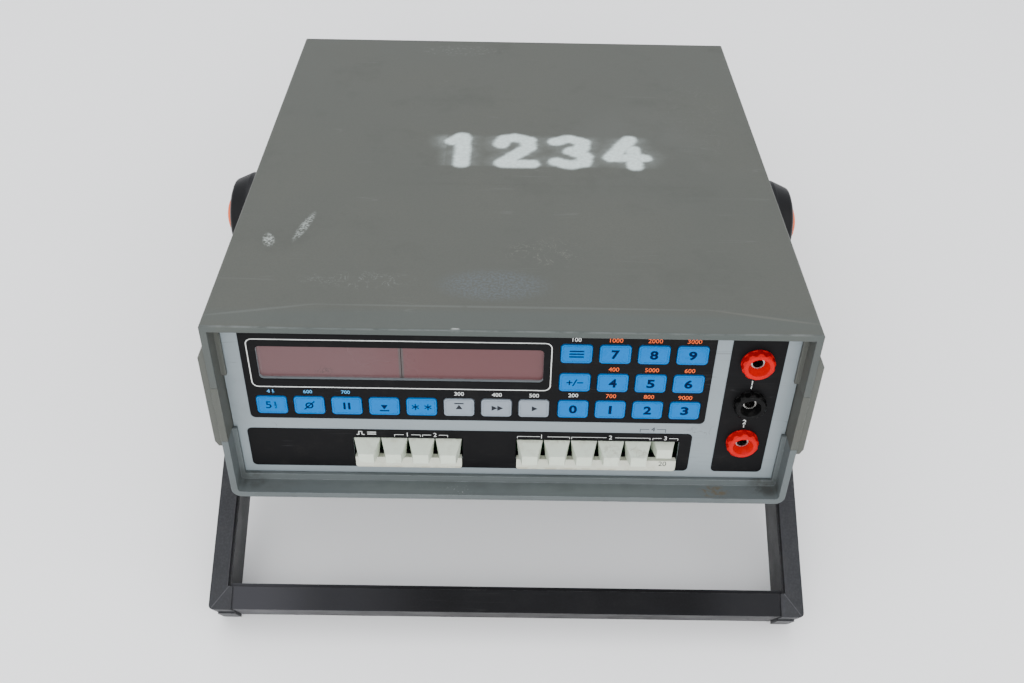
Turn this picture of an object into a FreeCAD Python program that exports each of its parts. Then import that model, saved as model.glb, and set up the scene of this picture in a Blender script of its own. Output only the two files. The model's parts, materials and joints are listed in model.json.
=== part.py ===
import FreeCAD, Part
import math
import os

# Bench multimeter in a two-part plastic case with a tilting carrying handle.
# Everything is drawn in the frame of the case: X to the right, Y to the back, Z up,
# with the origin at the middle of the case's lower front edge. At the end the case is
# tipped up on its handle and set down on the bench.

Vec = FreeCAD.Vector
X_AXIS = Vec(1, 0, 0)
Y_AXIS = Vec(0, 1, 0)

# ---- case ----
case_width = 220.0
case_depth = 248.0
case_height = 86.0
side_wall = 2.5
floor_wall = 2.5
roof_wall = 3.0
lower_seam = 29.8
upper_seam = 56.8
seam_gap = 0.2
bottom_edge_radius = 4.0
roof_edge_radius = 1.0
crease_depth = 0.8
crease_back_middle = 13.5
crease_back_end = 6.0
crease_half_middle = 72.0

# ---- panels and the ribs that hold them ----
panel_recess = 9.3
panel_sheet = 1.2
panel_play = 0.3
panel_edge = 0.4
rib_thick = 1.4
rib_rise = 1.8
rib_rise_floor = 3.0
label_sheet = 0.25
label_radius = 2.0

# ---- side rails ----
rail_inner_lip = 2.0
rail_lip_cover = 3.0
rail_lip_play = 0.2
rail_lip_start = 16.0
flange_proud = 2.6
flange_low = 27.5
flange_high = 76.0
flange_round = 2.4
flange_slope = 5.0
flange_setback = 0.4

# ---- screws and feet ----
post_radius = 4.0
post_inset_x = 9.5
post_inset_y = 27.0
screw_radius = 1.7
screw_play = 0.15
screw_head_radius = 3.2
screw_head_high = 1.4
screw_head_thick = 1.2
screw_slot_half = 2.2
screw_slot_wide = 0.8
screw_slot_deep = 0.6
post_split = 40.0
screw_end = 70.0
foot_radius = 7.0
foot_high = 6.0
foot_inset_x = 24.0
foot_inset_y = 22.0
foot_taper = 0.8

# ---- keys under the display and on the keypad ----
key_width = 11.4
key_high = 8.4
key_space = 2.82
function_key_space = 2.86
key_corner = 1.3
key_play = 0.35
key_proud = 0.35
key_travel = 0.6
key_flange = 0.55
key_flange_thick = 0.8
plunger_radius = 1.5
function_key_first = -90.9
function_key_count = 8
function_key_row = 41.4
keypad_space = 0.72
keypad_rows = [68.6, 54.8, 41.4]
keypad_names = [
    ["reading_key", "number_key_7", "number_key_8", "number_key_9"],
    ["sign_key", "number_key_4", "number_key_5", "number_key_6"],
    ["number_key_0", "number_key_1", "number_key_2", "number_key_3"],
]

# ---- display ----
window_left = -94.0
window_right = 12.0
window_low = 54.2
window_high = 69.8
window_radius = 1.6
window_split = -40.9
filter_lap = 3.0
filter_sheet = 1.8
digit_count = 6
digit_width = 15.0
digit_high = 13.0
digit_back_gap = 0.6

# ---- printed areas of the panel ----
fascia_left = -99.8
fascia_right = 75.0
fascia_low = 34.5
fascia_high = 80.5
strip_left = -102.3
strip_right = 71.3
strip_low = 8.9
strip_high = 28.9
terminal_strip_left = 80.7
terminal_strip_right = 100.8

# ---- push-buttons ----
button_width = 10.2
button_gap = 0.43
button_under_width = 8.6
button_tip_width = 6.0
button_out = 6.5
button_travel = 4.8
button_top = 24.3
button_under = 16.0
button_tip_top = 21.6
button_tip_under = 17.0
button_body = 6.0
button_end_play = 0.4
slot_low = 14.9
slot_high = 24.75
stem_side = 3.2
stem_play = 0.4
stem_grip = 15.5
function_bank_left = -60.95
function_button_count = 4
range_bank_left = 2.8
range_button_count = 6
latched_range_button = 6
plate_low = 9.4
plate_sheet = 0.8
plate_tongue = 0.9
plate_round = 1.2
plate_seat = 0.05
bank_high = 26.5
bank_play = 4.4
bank_deep = 33.5

# ---- terminals ----
terminal_x = 90.9
terminal_heights = {"current_terminal": 65.6, "common_terminal": 45.6, "voltage_terminal": 25.6}
collar_radius = 6.2
collar_nose = 5.4
collar_proud = 3.4
collar_flutes = 10
flute_radius = 2.2
flute_centre = 7.9
funnel_mouth = 4.0
funnel_deep = 3.0
neck_radius = 4.6
neck_play = 0.15
neck_behind = 15.5
socket_radius = 2.0
socket_wall = 0.5
socket_play = 0.05
socket_deep = 20.0
socket_back = 3.0
tag_radius = 1.0
tag_long = 6.0
nut_across = 12.0
nut_thick = 2.5
nut_play = 0.05

# ---- boards and inside ----
board_sheet = 1.6
main_board_low = 9.0
main_board_front = 19.0
main_board_back_gap = 22.0
main_board_side_gap = 16.0
standoff_radius = 3.5
display_board_behind = 7.5
display_board_left = -100.0
display_board_right = 78.0
display_board_low = 27.6
display_board_high = 81.0
switch_side = 6.0
switch_nib_radius = 1.7
switch_nib = 0.4
plunger_gap = 0.05
connector_inset = 6.0
connector_width = 30.0
connector_deep = 4.5
connector_rise = 8.0
spacer_radius = 2.2
spacer_inset = 2.5
switch_clear = 1.0
solder_sink = 0.1
chip_columns = 4
chip_rows = 3
chip_first_x = -62.0
chip_first_y = 78.0
chip_pitch_x = 30.0
chip_half_width = 3.8
chip_half_long = 9.5
chip_high = 4.0
chip_clear = 27.5
relay_count = 3
relay_first = 70.0
relay_pitch = 18.0
relay_left = 66.0
relay_width = 20.0
relay_deep = 12.0
relay_high = 12.0
capacitor_count = 3
capacitor_first = 4.0
capacitor_pitch = 22.0
capacitor_from_back = 43.0
capacitor_radius = 8.0
capacitor_high = 28.0
sink_left = 30.0
sink_right = 84.0
sink_from_back = 80.0
sink_plate = 2.0
sink_high = 30.0
fin_count = 7
fin_first = 33.0
fin_pitch = 8.0
fin_thick = 1.6
fin_deep = 10.0
core_left = -88.0
core_from_back = 72.0
core_width = 54.0
core_deep = 22.0
core_high = 45.0
winding_inset = 10.0
winding_out = 9.0
winding_low = 9.5
winding_round = 3.0

# ---- mains side ----
inlet_x = -62.0
inlet_z = 43.0
inlet_hole_width = 27.0
inlet_hole_high = 19.6
inlet_deep = 20.0
inlet_wall = 1.8
inlet_flange_width = 72.0
inlet_flange_high = 26.0
inlet_flange = 2.6
pin_width = 4.0
pin_thick = 2.0
pin_long = 13.0
rocker_x = -42.5
rocker_width = 12.0
rocker_high = 18.0
rocker_play = 0.4
rocker_axis_deep = 3.0
rocker_swing = 16.0
rocker_nose = 4.0
rocker_skirt = 1.6
trunnion_radius = 1.2
trunnion_long = 1.0
trunnion_play = 0.06
socket_offset = -11.0
inlet_body_inset = 8.3
inlet_clear = 0.3
inlet_round = 3.0
cavity_side = 1.5
rocker_floor = 6.0
rocker_end_play = 0.9
rocker_nose_half = 2.6
rocker_vee = 2.0
pin_places = [(-7.0, -2.0), (0.0, 2.6), (7.0, -2.0)]
vent_count = 9
vent_first = 22.0
vent_pitch = 8.0
vent_width = 3.2
vent_low = 22.0
vent_high = 62.0

# ---- carrying handle ----
hub_y = 139.0
hub_z = 45.0
stub_radius = 8.0
stub_play = 0.06
arm_gap = 0.6
arm_thick = 7.3
arm_width = 22.0
arm_length = 183.7
arm_angle = 31.56
cover_thick = 1.0
cover_step = 1.5
bevel_drop = 1.0
bar_face = 9.35
bar_step = 1.4
bar_wall = 1.4
bar_low = 0.3
groove_wide = 0.6
groove_deep = 0.6
corner_reach = 9.2
corner_round = 2.0
pad_wide = 7.2
pad_proud = 0.8
pad_top = 3.0
pad_round = 1.5
tongue_long = 8.0
tongue_play = 0.15
hub_rim_round = 2.0
hub_wall = 2.7
hub_step = 3.3
hub_ring = 3.5
hub_rim_out = 7.4
hub_face_out = 8.5
hub_side_wall = 4.4
hub_front_wall = 3.4
lock_play = 0.5
lock_thick = 2.1
lock_teeth = 12
tooth_width = 2.0
tooth_deep = 1.2
release_radius = 9.8
release_play = 0.3
release_side = 0.9
release_proud = 3.8
release_travel = 2.5
release_flange = 1.4
release_flange_lap = 1.5
release_flange_play = 0.7
release_wall = 1.6
release_crown = 2.4
release_seat_play = 0.3
spring_radius = 6.2
spring_wall = 0.7

half_width = case_width / 2
panel_back = panel_recess + panel_sheet
panel_front = panel_recess - label_sheet
panel_half = half_width - side_wall - panel_play
opening_half = half_width - side_wall - rib_rise
board_top = main_board_low + board_sheet
display_board_front = panel_back + display_board_behind
display_board_back = display_board_front + board_sheet
function_key_pitch = key_width + function_key_space
keypad_pitch_x = key_width + key_space
keypad_first = function_key_first + function_key_count * function_key_pitch + keypad_space
button_pitch = button_width + button_gap
bank_front = panel_recess + button_body + button_travel + bank_play
bank_back = bank_front + bank_deep
stem_end = bank_front + stem_grip
neck_end = panel_back + neck_behind
main_board_back = case_depth - main_board_back_gap
main_board_half = half_width - main_board_side_gap
core_front = case_depth - core_from_back
chip_pitch_y = (core_front - winding_out - chip_clear - chip_half_long - chip_first_y) / (chip_rows - 1)
capacitor_y = case_depth - capacitor_from_back
sink_front = case_depth - sink_from_back
inner_face = half_width + flange_proud + arm_gap
cover_outer = inner_face + cover_thick
arm_face = cover_outer + arm_thick
pad_inner = arm_face - corner_reach
pad_outer = pad_inner + pad_wide
release_hole = release_radius + release_play
release_flange_radius = release_radius + release_flange_lap
pocket_radius = release_flange_radius + release_flange_play
lock_radius = pocket_radius - lock_play
hub_face_radius = release_hole + hub_ring
hub_rim_radius = pocket_radius + hub_side_wall
hub_radius = hub_rim_radius + hub_step
hub_rim_x = arm_face + hub_rim_out
hub_face_x = arm_face + hub_face_out
nodes = {}


def box(x0, x1, y0, y1, z0, z1):
    return Part.makeBox(x1 - x0, y1 - y0, z1 - z0, Vec(x0, y0, z0))


def cyl_x(radius, x0, x1, y, z):
    return Part.makeCylinder(radius, x1 - x0, Vec(x0, y, z), X_AXIS)


def cyl_y(radius, y0, y1, x, z):
    return Part.makeCylinder(radius, y1 - y0, Vec(x, y0, z), Y_AXIS)


def cyl_z(radius, z0, z1, x, y):
    return Part.makeCylinder(radius, z1 - z0, Vec(x, y, z0))


def prism(points, along):
    return Part.Face(Part.makePolygon(points + [points[0]])).extrude(along)


def fuse_all(shapes):
    whole = shapes[0]
    if len(shapes) > 1:
        whole = whole.multiFuse(shapes[1:])
    return whole.removeSplitter()


def cut_all(shape, tools):
    return shape.cut(Part.makeCompound(tools))


def edges_along(shape, direction, keep=lambda point: True):
    found = []
    for edge in shape.Edges:
        if len(edge.Vertexes) == 2:
            run = edge.Vertexes[1].Point - edge.Vertexes[0].Point
            straight = run.Length > 0 and abs(abs(run.dot(direction)) - run.Length) < 1e-6
            if straight and keep(edge.CenterOfMass):
                found.append(edge)
    return found


def rounded_plate(x0, x1, y0, y1, z0, z1, radius):
    """Plate that faces the front, with its four upright corners rounded."""
    plate = box(x0, x1, y0, y1, z0, z1)
    return plate.makeFillet(radius, edges_along(plate, Y_AXIS))


def mirrored(shape):
    return shape.mirror(Vec(0, 0, 0), X_AXIS)


def backwards(shape):
    """The same shape at the back of the case as at its front."""
    return shape.mirror(Vec(0, case_depth / 2, 0), Y_AXIS)


def key_places():
    places = []
    for number in range(function_key_count):
        centre = function_key_first + number * function_key_pitch
        places.append(("function_key_%d" % (number + 1), centre, function_key_row))
    for row, names in zip(keypad_rows, keypad_names):
        for column, name in enumerate(names):
            places.append((name, keypad_first + column * keypad_pitch_x, row))
    return places


def button_banks():
    return [
        ("function", function_bank_left, function_button_count, 0),
        ("range", range_bank_left, range_button_count, latched_range_button),
    ]


def bank_right(left, count):
    return left + (count - 1) * button_pitch + button_width


def post_places():
    across = half_width - side_wall - post_inset_x + post_radius / 2
    return [(sx * across, y) for sx in (-1, 1) for y in (post_inset_y, case_depth - post_inset_y)]


def standoff_places():
    across = main_board_half - 2 * standoff_radius
    lengths = [main_board_front + 30.0, case_depth / 2 - 4.0, main_board_back - 12.0]
    return [(sx * across, y) for sx in (-1, 1) for y in lengths]


# ---------------------------------------------------------------- case shells

def panel_ribs(z0, z1, open_low, open_high):
    """Two ribs with a slot between them for the edge of a panel."""
    ribs = []
    starts = [panel_recess - panel_edge - rib_thick, panel_back + panel_edge]
    for start in starts:
        whole = box(-half_width + side_wall / 2, half_width - side_wall / 2, start, start + rib_thick, z0, z1)
        ribs.append(whole.cut(box(-opening_half, opening_half, start - 1, start + rib_thick + 1,
                                  open_low, open_high)))
    return ribs + [backwards(rib) for rib in ribs]


def bottom_cover():
    outer = box(-half_width, half_width, 0, case_depth, 0, lower_seam)
    outer = outer.makeFillet(bottom_edge_radius, edges_along(outer, Y_AXIS, lambda p: p.z < 1))
    inside = box(-half_width + side_wall, half_width - side_wall, -1, case_depth + 1, floor_wall, lower_seam + 1)
    inside = inside.makeFillet(bottom_edge_radius - side_wall, edges_along(inside, Y_AXIS, lambda p: p.z < 3))
    solids = [outer.cut(inside)]
    solids += panel_ribs(floor_wall / 2, lower_seam, floor_wall + rib_rise_floor, case_height)
    for x, y in post_places():
        solids.append(cyl_z(post_radius, floor_wall / 2, post_split, x, y))
    for x, y in standoff_places():
        solids.append(cyl_z(standoff_radius, floor_wall / 2, main_board_low, x, y))
    cover = fuse_all(solids)
    holes = []
    for x, y in post_places():
        holes.append(cyl_z(screw_radius + screw_play, -1, post_split + 1, x, y))
        holes.append(cyl_z(screw_head_radius + screw_play, -1, screw_head_high, x, y))
    return cut_all(cover, holes)


def front_crease():
    """Shallow facet along the front of the roof, with hipped ends."""
    drop = crease_depth / crease_back_middle
    slopes = [lambda x, y: case_height - drop * (crease_back_middle - y)]
    run = (crease_back_middle - crease_back_end) / (half_width - crease_half_middle)
    for side in (-1, 1):
        slopes.append(lambda x, y, side=side: case_height - drop * (
            crease_back_middle - y - run * (side * x - crease_half_middle)))
    reach = 2 * case_width
    wedge = box(-reach, reach, -5, crease_back_middle + 5, case_height - 5, case_height + 5)
    for height in slopes:
        corners = [(-reach, -reach), (reach, -reach), (reach, reach), (-reach, reach)]
        slab = prism([Vec(x, y, height(x, y)) for x, y in corners], Vec(0, 0, 4 * reach))
        wedge = wedge.common(slab)
    return wedge


def top_cover():
    outer = box(-half_width, half_width, 0, case_depth, upper_seam, case_height)
    outer = outer.makeFillet(roof_edge_radius, edges_along(outer, Y_AXIS, lambda p: p.z > case_height - 1))
    roof_under = case_height - roof_wall
    inside = box(-half_width + side_wall, half_width - side_wall, -1, case_depth + 1, upper_seam - 1, roof_under)
    solids = [outer.cut(inside).cut(front_crease())]
    solids += panel_ribs(upper_seam, roof_under + roof_wall / 2, 0, roof_under - rib_rise)
    for x, y in post_places():
        solids.append(cyl_z(post_radius, post_split + seam_gap, roof_under + roof_wall / 2, x, y))
    cover = fuse_all(solids)
    holes = [cyl_z(screw_radius + screw_play, post_split - 1, screw_end + 1, x, y) for x, y in post_places()]
    return cut_all(cover, holes)


def right_rail():
    """Strip between the shells, with the raised outer flange and the pivot of the handle."""
    inner = half_width - side_wall
    low = lower_seam + seam_gap
    high = upper_seam - seam_gap
    web = box(inner, half_width + 0.1, 0, case_depth, low, high)
    lip_outer = inner - rail_lip_play
    lip = box(lip_outer - rail_inner_lip, lip_outer, rail_lip_start, case_depth - rail_lip_start,
              lower_seam - rail_lip_cover, upper_seam + rail_lip_cover)
    lip_web = box(lip_outer - 1, inner + 1, rail_lip_start, case_depth - rail_lip_start, low, high)
    outer = half_width + flange_proud
    face = [Vec(half_width, flange_setback, flange_low), Vec(outer - flange_round / 2, flange_setback, flange_low),
            Vec(outer, flange_setback, flange_low + flange_round),
            Vec(outer, flange_setback, flange_high - flange_slope),
            Vec(half_width, flange_setback, flange_high)]
    flange = prism(face, Vec(0, case_depth - 2 * flange_setback, 0))
    stub_end = outer + arm_gap + hub_floor() + release_seat_play
    stub = cyl_x(stub_radius, half_width, stub_end, hub_y, hub_z)
    lock = cyl_x(lock_radius, stub_end, stub_end + lock_thick, hub_y, hub_z)
    notches = []
    for number in range(lock_teeth):
        notch = box(stub_end - 1, stub_end + lock_thick + 1, hub_y - tooth_width / 2, hub_y + tooth_width / 2,
                    hub_z + lock_radius - tooth_deep, hub_z + lock_radius + 1)
        notch.rotate(Vec(0, hub_y, hub_z), X_AXIS, number * 360.0 / lock_teeth)
        notches.append(notch)
    return fuse_all([web, lip, lip_web, flange, stub, cut_all(lock, notches)])


# ---------------------------------------------------------------- handle

def hub_floor():
    """Thickness of the bearing plate that turns on the stub."""
    return cover_thick + hub_wall


def hub_pocket_end():
    """Floor of the pocket inside the domed hub."""
    return hub_face_x - hub_front_wall


def arm_bevel():
    """Wedges that slope the front and back faces of an arm and of the bar outwards."""
    inner = cover_outer
    half = arm_width / 2
    wedges = []
    for side in (-1, 1):
        section = [Vec(inner, 0, side * half), Vec(arm_face + 1, 0, side * half),
                   Vec(arm_face + 1, 0, side * (half - bevel_drop * (arm_thick + 1) / arm_thick))]
        wedges.append(prism(section, Vec(0, -arm_length - 1, 0)))
    return wedges


def bar_bevel(reach):
    half = arm_width / 2
    wedges = []
    start = -(arm_length - bar_face)
    for side in (-1, 1):
        section = [Vec(-reach, start, side * half), Vec(-reach, -arm_length - 1, side * half),
                   Vec(-reach, -arm_length - 1, side * (half - bevel_drop * (bar_face + 1) / bar_face))]
        wedges.append(prism(section, Vec(2 * reach, 0, 0)))
    return wedges


def right_arm():
    """Arm, corner piece and domed hub in one moulding, drawn level with the pivot at zero."""
    half = arm_width / 2
    side_view = [Vec(cover_outer, 0, -half), Vec(arm_face, 0, -half), Vec(arm_face, -arm_length, -half),
                 Vec(pad_inner, -arm_length, -half), Vec(pad_inner, bar_face - arm_length, -half),
                 Vec(cover_outer, bar_face - arm_length, -half)]
    blank = prism(side_view, Vec(0, 0, 2 * half))
    turn = edges_along(blank, Vec(0, 0, 1), lambda p: p.x > arm_face - 0.1 and p.y < 0.1 - arm_length)
    blank = cut_all(blank.makeFillet(corner_round, turn), arm_bevel() + bar_bevel(case_width))
    pad = box(pad_inner, pad_outer, -arm_length - pad_proud, bar_wall - arm_length, bevel_drop - half, pad_top)
    pad = pad.makeFillet(pad_round, edges_along(pad, Y_AXIS, lambda p: p.x > pad_outer - 0.1))
    profile = [Vec(cover_outer, 0, 0), Vec(cover_outer, hub_radius, 0), Vec(arm_face, hub_radius, 0),
               Vec(hub_rim_x, hub_rim_radius, 0), Vec(hub_face_x, hub_face_radius, 0), Vec(hub_face_x, 0, 0)]
    hub = Part.Face(Part.makePolygon(profile + [profile[0]])).revolve(Vec(0, 0, 0), X_AXIS, 360)
    rim = [e for e in hub.Edges if abs(e.BoundBox.XMin - hub_rim_x) < 0.01 and abs(e.BoundBox.XMax - hub_rim_x) < 0.01]
    hub = hub.makeFillet(hub_rim_round, rim)
    gap = tongue_play + bar_wall
    side = half - gap - bevel_drop - bar_low
    tongue = box(pad_inner - tongue_long, pad_inner + 1, -arm_length + gap + bar_low, bar_face - arm_length - gap,
                 -side, side)
    arm = fuse_all([blank, pad, hub, tongue])
    pocket = cyl_x(pocket_radius, cover_outer - 5, hub_pocket_end(), 0, 0)
    hole = cyl_x(release_hole, cover_outer, hub_face_x + 1, 0, 0)
    return cut_all(arm, [pocket, hole])


def right_arm_cover():
    """Inner cover of an arm, with the bearing plate of the pivot inside the hub."""
    half = arm_width / 2 - cover_step
    strip = box(inner_face, cover_outer, bar_face - arm_length, 0, -half, half)
    disc = cyl_x(hub_radius - cover_step, inner_face, cover_outer, 0, 0)
    plate = cyl_x(pocket_radius - tongue_play, inner_face, inner_face + hub_floor(), 0, 0)
    bore = cyl_x(stub_radius + stub_play, inner_face - 1, arm_face, 0, 0)
    return fuse_all([strip, disc, plate]).cut(bore)


def bar_beam(inset, reach):
    """Solid bar whose outer faces lie a little inside those of the corner pieces."""
    inner = bar_face - arm_length
    outer = inset - arm_length
    half = arm_width / 2 - inset
    section = [Vec(-reach, inner, -half), Vec(-reach, outer, bevel_drop - half),
               Vec(-reach, outer, half - bevel_drop), Vec(-reach, inner, half)]
    return prism(section, Vec(2 * reach, 0, 0))


def handle_bar():
    """Hollow cross bar with a groove at each end and a narrower step along its inner side."""
    reach = pad_inner
    inner = bar_face - arm_length
    half = arm_width / 2
    step = box(-inner_face, inner_face, inner, inner + bar_step, cover_step - half, half - cover_step)
    side = half - bar_low - bar_wall - bevel_drop
    hollow = box(-reach - 1, reach + 1, bar_low + bar_wall - arm_length, inner - bar_wall, -side, side)
    beams = [bar_beam(bar_low, reach - groove_wide), bar_beam(groove_deep, reach)]
    return fuse_all(beams + [step]).cut(hollow)


def release_start():
    """Where the flange of a release button begins at rest, against the pocket's end."""
    return hub_pocket_end() - release_seat_play - release_flange


def release_roof():
    """Inner end of the hollow in a release button."""
    return hub_face_x + release_proud - release_crown


def right_release_button():
    start = release_start()
    tip = hub_face_x + release_proud
    inner = release_radius - release_wall
    skirt = [Vec(start, inner, 0), Vec(start, release_flange_radius, 0),
             Vec(start + release_flange, release_flange_radius, 0),
             Vec(start + release_flange, release_radius, 0), Vec(hub_face_x + release_side, release_radius, 0)]
    rise = release_proud - release_side
    dome = (release_radius ** 2 + rise ** 2) / (2 * rise)
    lean = math.asin(release_radius / dome) / 2
    halfway = Vec(tip - dome * (1 - math.cos(lean)), dome * math.sin(lean), 0)
    crown = Part.Arc(skirt[-1], halfway, Vec(tip, 0, 0)).toShape()
    roof = release_roof()
    back = [Vec(tip, 0, 0), Vec(roof, 0, 0), Vec(roof, inner, 0), Vec(start, inner, 0)]
    wire = Part.Wire([*Part.makePolygon(skirt).Edges, crown, *Part.makePolygon(back).Edges])
    return Part.Face(wire).revolve(Vec(0, 0, 0), X_AXIS, 360)


def right_release_spring():
    """Sleeve as long as the pressed-in spring, standing on the end of the pivot."""
    seat = inner_face + hub_floor() + release_seat_play + lock_thick
    end = release_roof() - release_travel - release_seat_play
    outer = cyl_x(spring_radius, seat, end, 0, 0)
    return outer.cut(cyl_x(spring_radius - spring_wall, seat - 1, end + 1, 0, 0))


def on_hub(shape):
    """Turn a piece of the handle to its leaning place and carry it to the pivot."""
    placed = shape.copy()
    placed.rotate(Vec(0, 0, 0), X_AXIS, arm_angle)
    placed.translate(Vec(0, hub_y, hub_z))
    return placed


# ---------------------------------------------------------------- panels

def panel_outline():
    z_low = floor_wall + panel_play
    z_high = case_height - roof_wall - panel_play
    sheet = box(-panel_half, panel_half, panel_recess, panel_back, z_low, z_high)
    return sheet.makeFillet(bottom_edge_radius - side_wall, edges_along(sheet, Y_AXIS))


def key_hole(x, z, front, back):
    return rounded_plate(x - key_width / 2 - key_play, x + key_width / 2 + key_play, front, back,
                         z - key_high / 2 - key_play, z + key_high / 2 + key_play, key_corner + key_play)


def panel_cutters(front, back):
    cutters = [rounded_plate(window_left, window_right, front, back, window_low, window_high, window_radius)]
    for _, x, z in key_places():
        cutters.append(key_hole(x, z, front, back))
    for _, left, count, _ in button_banks():
        cutters.append(box(left - button_end_play, bank_right(left, count) + button_end_play, front, back,
                           slot_low - plate_tongue, slot_high))
    for z in terminal_heights.values():
        cutters.append(cyl_y(neck_radius + neck_play, front, back, terminal_x, z))
    return cutters


def front_panel():
    return cut_all(panel_outline(), panel_cutters(panel_recess - 1, panel_back + 1))


def panel_labels():
    """Three black printed films on the panel."""
    areas = [(fascia_left, fascia_right, fascia_low, fascia_high),
             (strip_left, strip_right, strip_low, strip_high),
             (terminal_strip_left, terminal_strip_right, strip_low, fascia_high)]
    films = []
    for x0, x1, z0, z1 in areas:
        film = rounded_plate(x0, x1, panel_front, panel_recess, z0, z1, label_radius)
        films.append(cut_all(film, panel_cutters(panel_front - 1, panel_recess + 1)))
    return Part.makeCompound([solid for film in films for solid in film.Solids])


def display_filters():
    low = window_low - filter_lap
    high = window_high + filter_lap
    middle = window_split
    left = box(window_left - filter_lap, middle - seam_gap / 2, panel_back, panel_back + filter_sheet, low, high)
    right = box(middle + seam_gap / 2, window_right + filter_lap, panel_back, panel_back + filter_sheet, low, high)
    return Part.makeCompound([left, right])


def key(x, z):
    """Key cap with the flange that keeps it behind the panel and the plunger of its switch."""
    front = panel_front - key_proud
    flange_front = panel_back + key_play
    flange_back = flange_front + key_flange_thick
    cap = rounded_plate(x - key_width / 2, x + key_width / 2, front, flange_front + 0.1,
                        z - key_high / 2, z + key_high / 2, key_corner)
    wide = key_width / 2 + key_flange
    tall = key_high / 2 + key_flange
    flange = box(x - wide, x + wide, flange_front, flange_back, z - tall, z + tall)
    plunger = cyl_y(plunger_radius, flange_back - 0.1, plunger_end(), x, z)
    return fuse_all([cap, flange, plunger])


def plunger_end():
    return switch_front() - key_travel - plunger_gap


def switch_front():
    """Front of the small nib of each key switch."""
    return panel_back + key_play + key_flange_thick + key_travel + switch_clear


# ---------------------------------------------------------------- push-buttons

def push_button(left, pushed):
    """Wedge-shaped cap, straight body and square stem; pushed is how far it is pressed in."""
    right = left + button_width
    middle = (left + right) / 2
    tip = panel_recess - button_out
    front = [Vec(middle - button_tip_width / 2, tip, button_tip_under),
             Vec(middle + button_tip_width / 2, tip, button_tip_under),
             Vec(middle + button_tip_width / 2, tip, button_tip_top),
             Vec(middle - button_tip_width / 2, tip, button_tip_top)]
    under = button_under_width / 2
    back = [Vec(middle - under, panel_recess, button_under), Vec(middle + under, panel_recess, button_under),
            Vec(right, panel_recess, button_top), Vec(left, panel_recess, button_top)]
    nose = Part.makeLoft([Part.makePolygon(front + [front[0]]), Part.makePolygon(back + [back[0]])], True, True)
    body_end = panel_recess + button_body
    body = prism(back, Vec(0, button_body, 0))
    z = (button_under + button_top) / 2
    half = stem_side / 2
    stem = box(middle - half, middle + half, body_end - 1, stem_end, z - half, z + half)
    button = fuse_all([nose, body, stem])
    button.translate(Vec(0, pushed, 0))
    return button


def button_plates():
    """Ivory plates under the buttons, hooked into the slots."""
    plates = []
    for _, left, count, _ in button_banks():
        right = bank_right(left, count)
        face = box(left, right, panel_front - plate_sheet, panel_front, plate_low, slot_low)
        face = face.makeFillet(plate_round, edges_along(face, Y_AXIS, lambda p: p.z < plate_low + 1))
        tongue = box(left, right, panel_front - 0.2, panel_back, slot_low - plate_tongue + plate_seat, slot_low)
        plates.append(face.fuse(tongue).removeSplitter())
    return Part.makeCompound([solid for plate in plates for solid in plate.Solids])


def switch_banks():
    """Housings of the two button banks, standing on the main board."""
    z = (button_under + button_top) / 2
    half = stem_side / 2 + stem_play
    banks = []
    for _, left, count, _ in button_banks():
        housing = box(left, bank_right(left, count), bank_front, bank_back, board_top, bank_high)
        channels = []
        for number in range(count):
            middle = left + button_width / 2 + number * button_pitch
            channels.append(box(middle - half, middle + half, bank_front - 1, bank_back + 1, z - half, z + half))
        banks.append(cut_all(housing, channels))
    return Part.makeCompound([solid for bank in banks for solid in bank.Solids])


# ---------------------------------------------------------------- terminals

def terminal_nose():
    return panel_front - collar_proud


def terminal(z):
    """Insulated body with a fluted collar in front and a funnel that leads to the socket."""
    nose = terminal_nose()
    inner = socket_radius + socket_wall + socket_play
    profile = [Vec(inner, nose + funnel_deep, 0), Vec(funnel_mouth, nose, 0), Vec(collar_nose, nose, 0),
               Vec(collar_radius, nose + (collar_radius - collar_nose), 0), Vec(collar_radius, panel_front, 0),
               Vec(neck_radius, panel_front, 0), Vec(neck_radius, neck_end, 0), Vec(inner, neck_end, 0)]
    body = Part.Face(Part.makePolygon(profile + [profile[0]])).revolve(Vec(0, 0, 0), Y_AXIS, 360)
    flutes = []
    for number in range(collar_flutes):
        turn = 2 * math.pi * number / collar_flutes
        flutes.append(cyl_y(flute_radius, nose - 1, panel_front - 0.4,
                            flute_centre * math.cos(turn), flute_centre * math.sin(turn)))
    body = cut_all(body, flutes)
    body.translate(Vec(terminal_x, 0, z))
    return body


def terminal_sockets():
    """Metal sockets with blind bores and solder tags, one in each terminal."""
    start = terminal_nose() + funnel_deep
    sockets = []
    for z in terminal_heights.values():
        back = start + socket_deep + socket_back
        tube = cyl_y(socket_radius + socket_wall, start, back, terminal_x, z)
        tag = cyl_y(tag_radius, back - 1, back + tag_long, terminal_x, z)
        tube = tube.fuse(tag).removeSplitter()
        sockets.append(tube.cut(cyl_y(socket_radius, start - 1, start + socket_deep, terminal_x, z)))
    return Part.makeCompound([solid for socket in sockets for solid in socket.Solids])


def terminal_nuts():
    nuts = []
    for z in terminal_heights.values():
        ring = [Vec(nut_across / math.sqrt(3) * math.cos(math.radians(60 * k)), 0,
                    nut_across / math.sqrt(3) * math.sin(math.radians(60 * k))) for k in range(6)]
        nut = prism(ring, Vec(0, nut_thick, 0))
        nut.translate(Vec(terminal_x, panel_back, z))
        nuts.append(nut.cut(cyl_y(neck_radius + nut_play, panel_back - 1, panel_back + nut_thick + 1, terminal_x, z)))
    return Part.makeCompound([solid for nut in nuts for solid in nut.Solids])


# ---------------------------------------------------------------- inside

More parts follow.
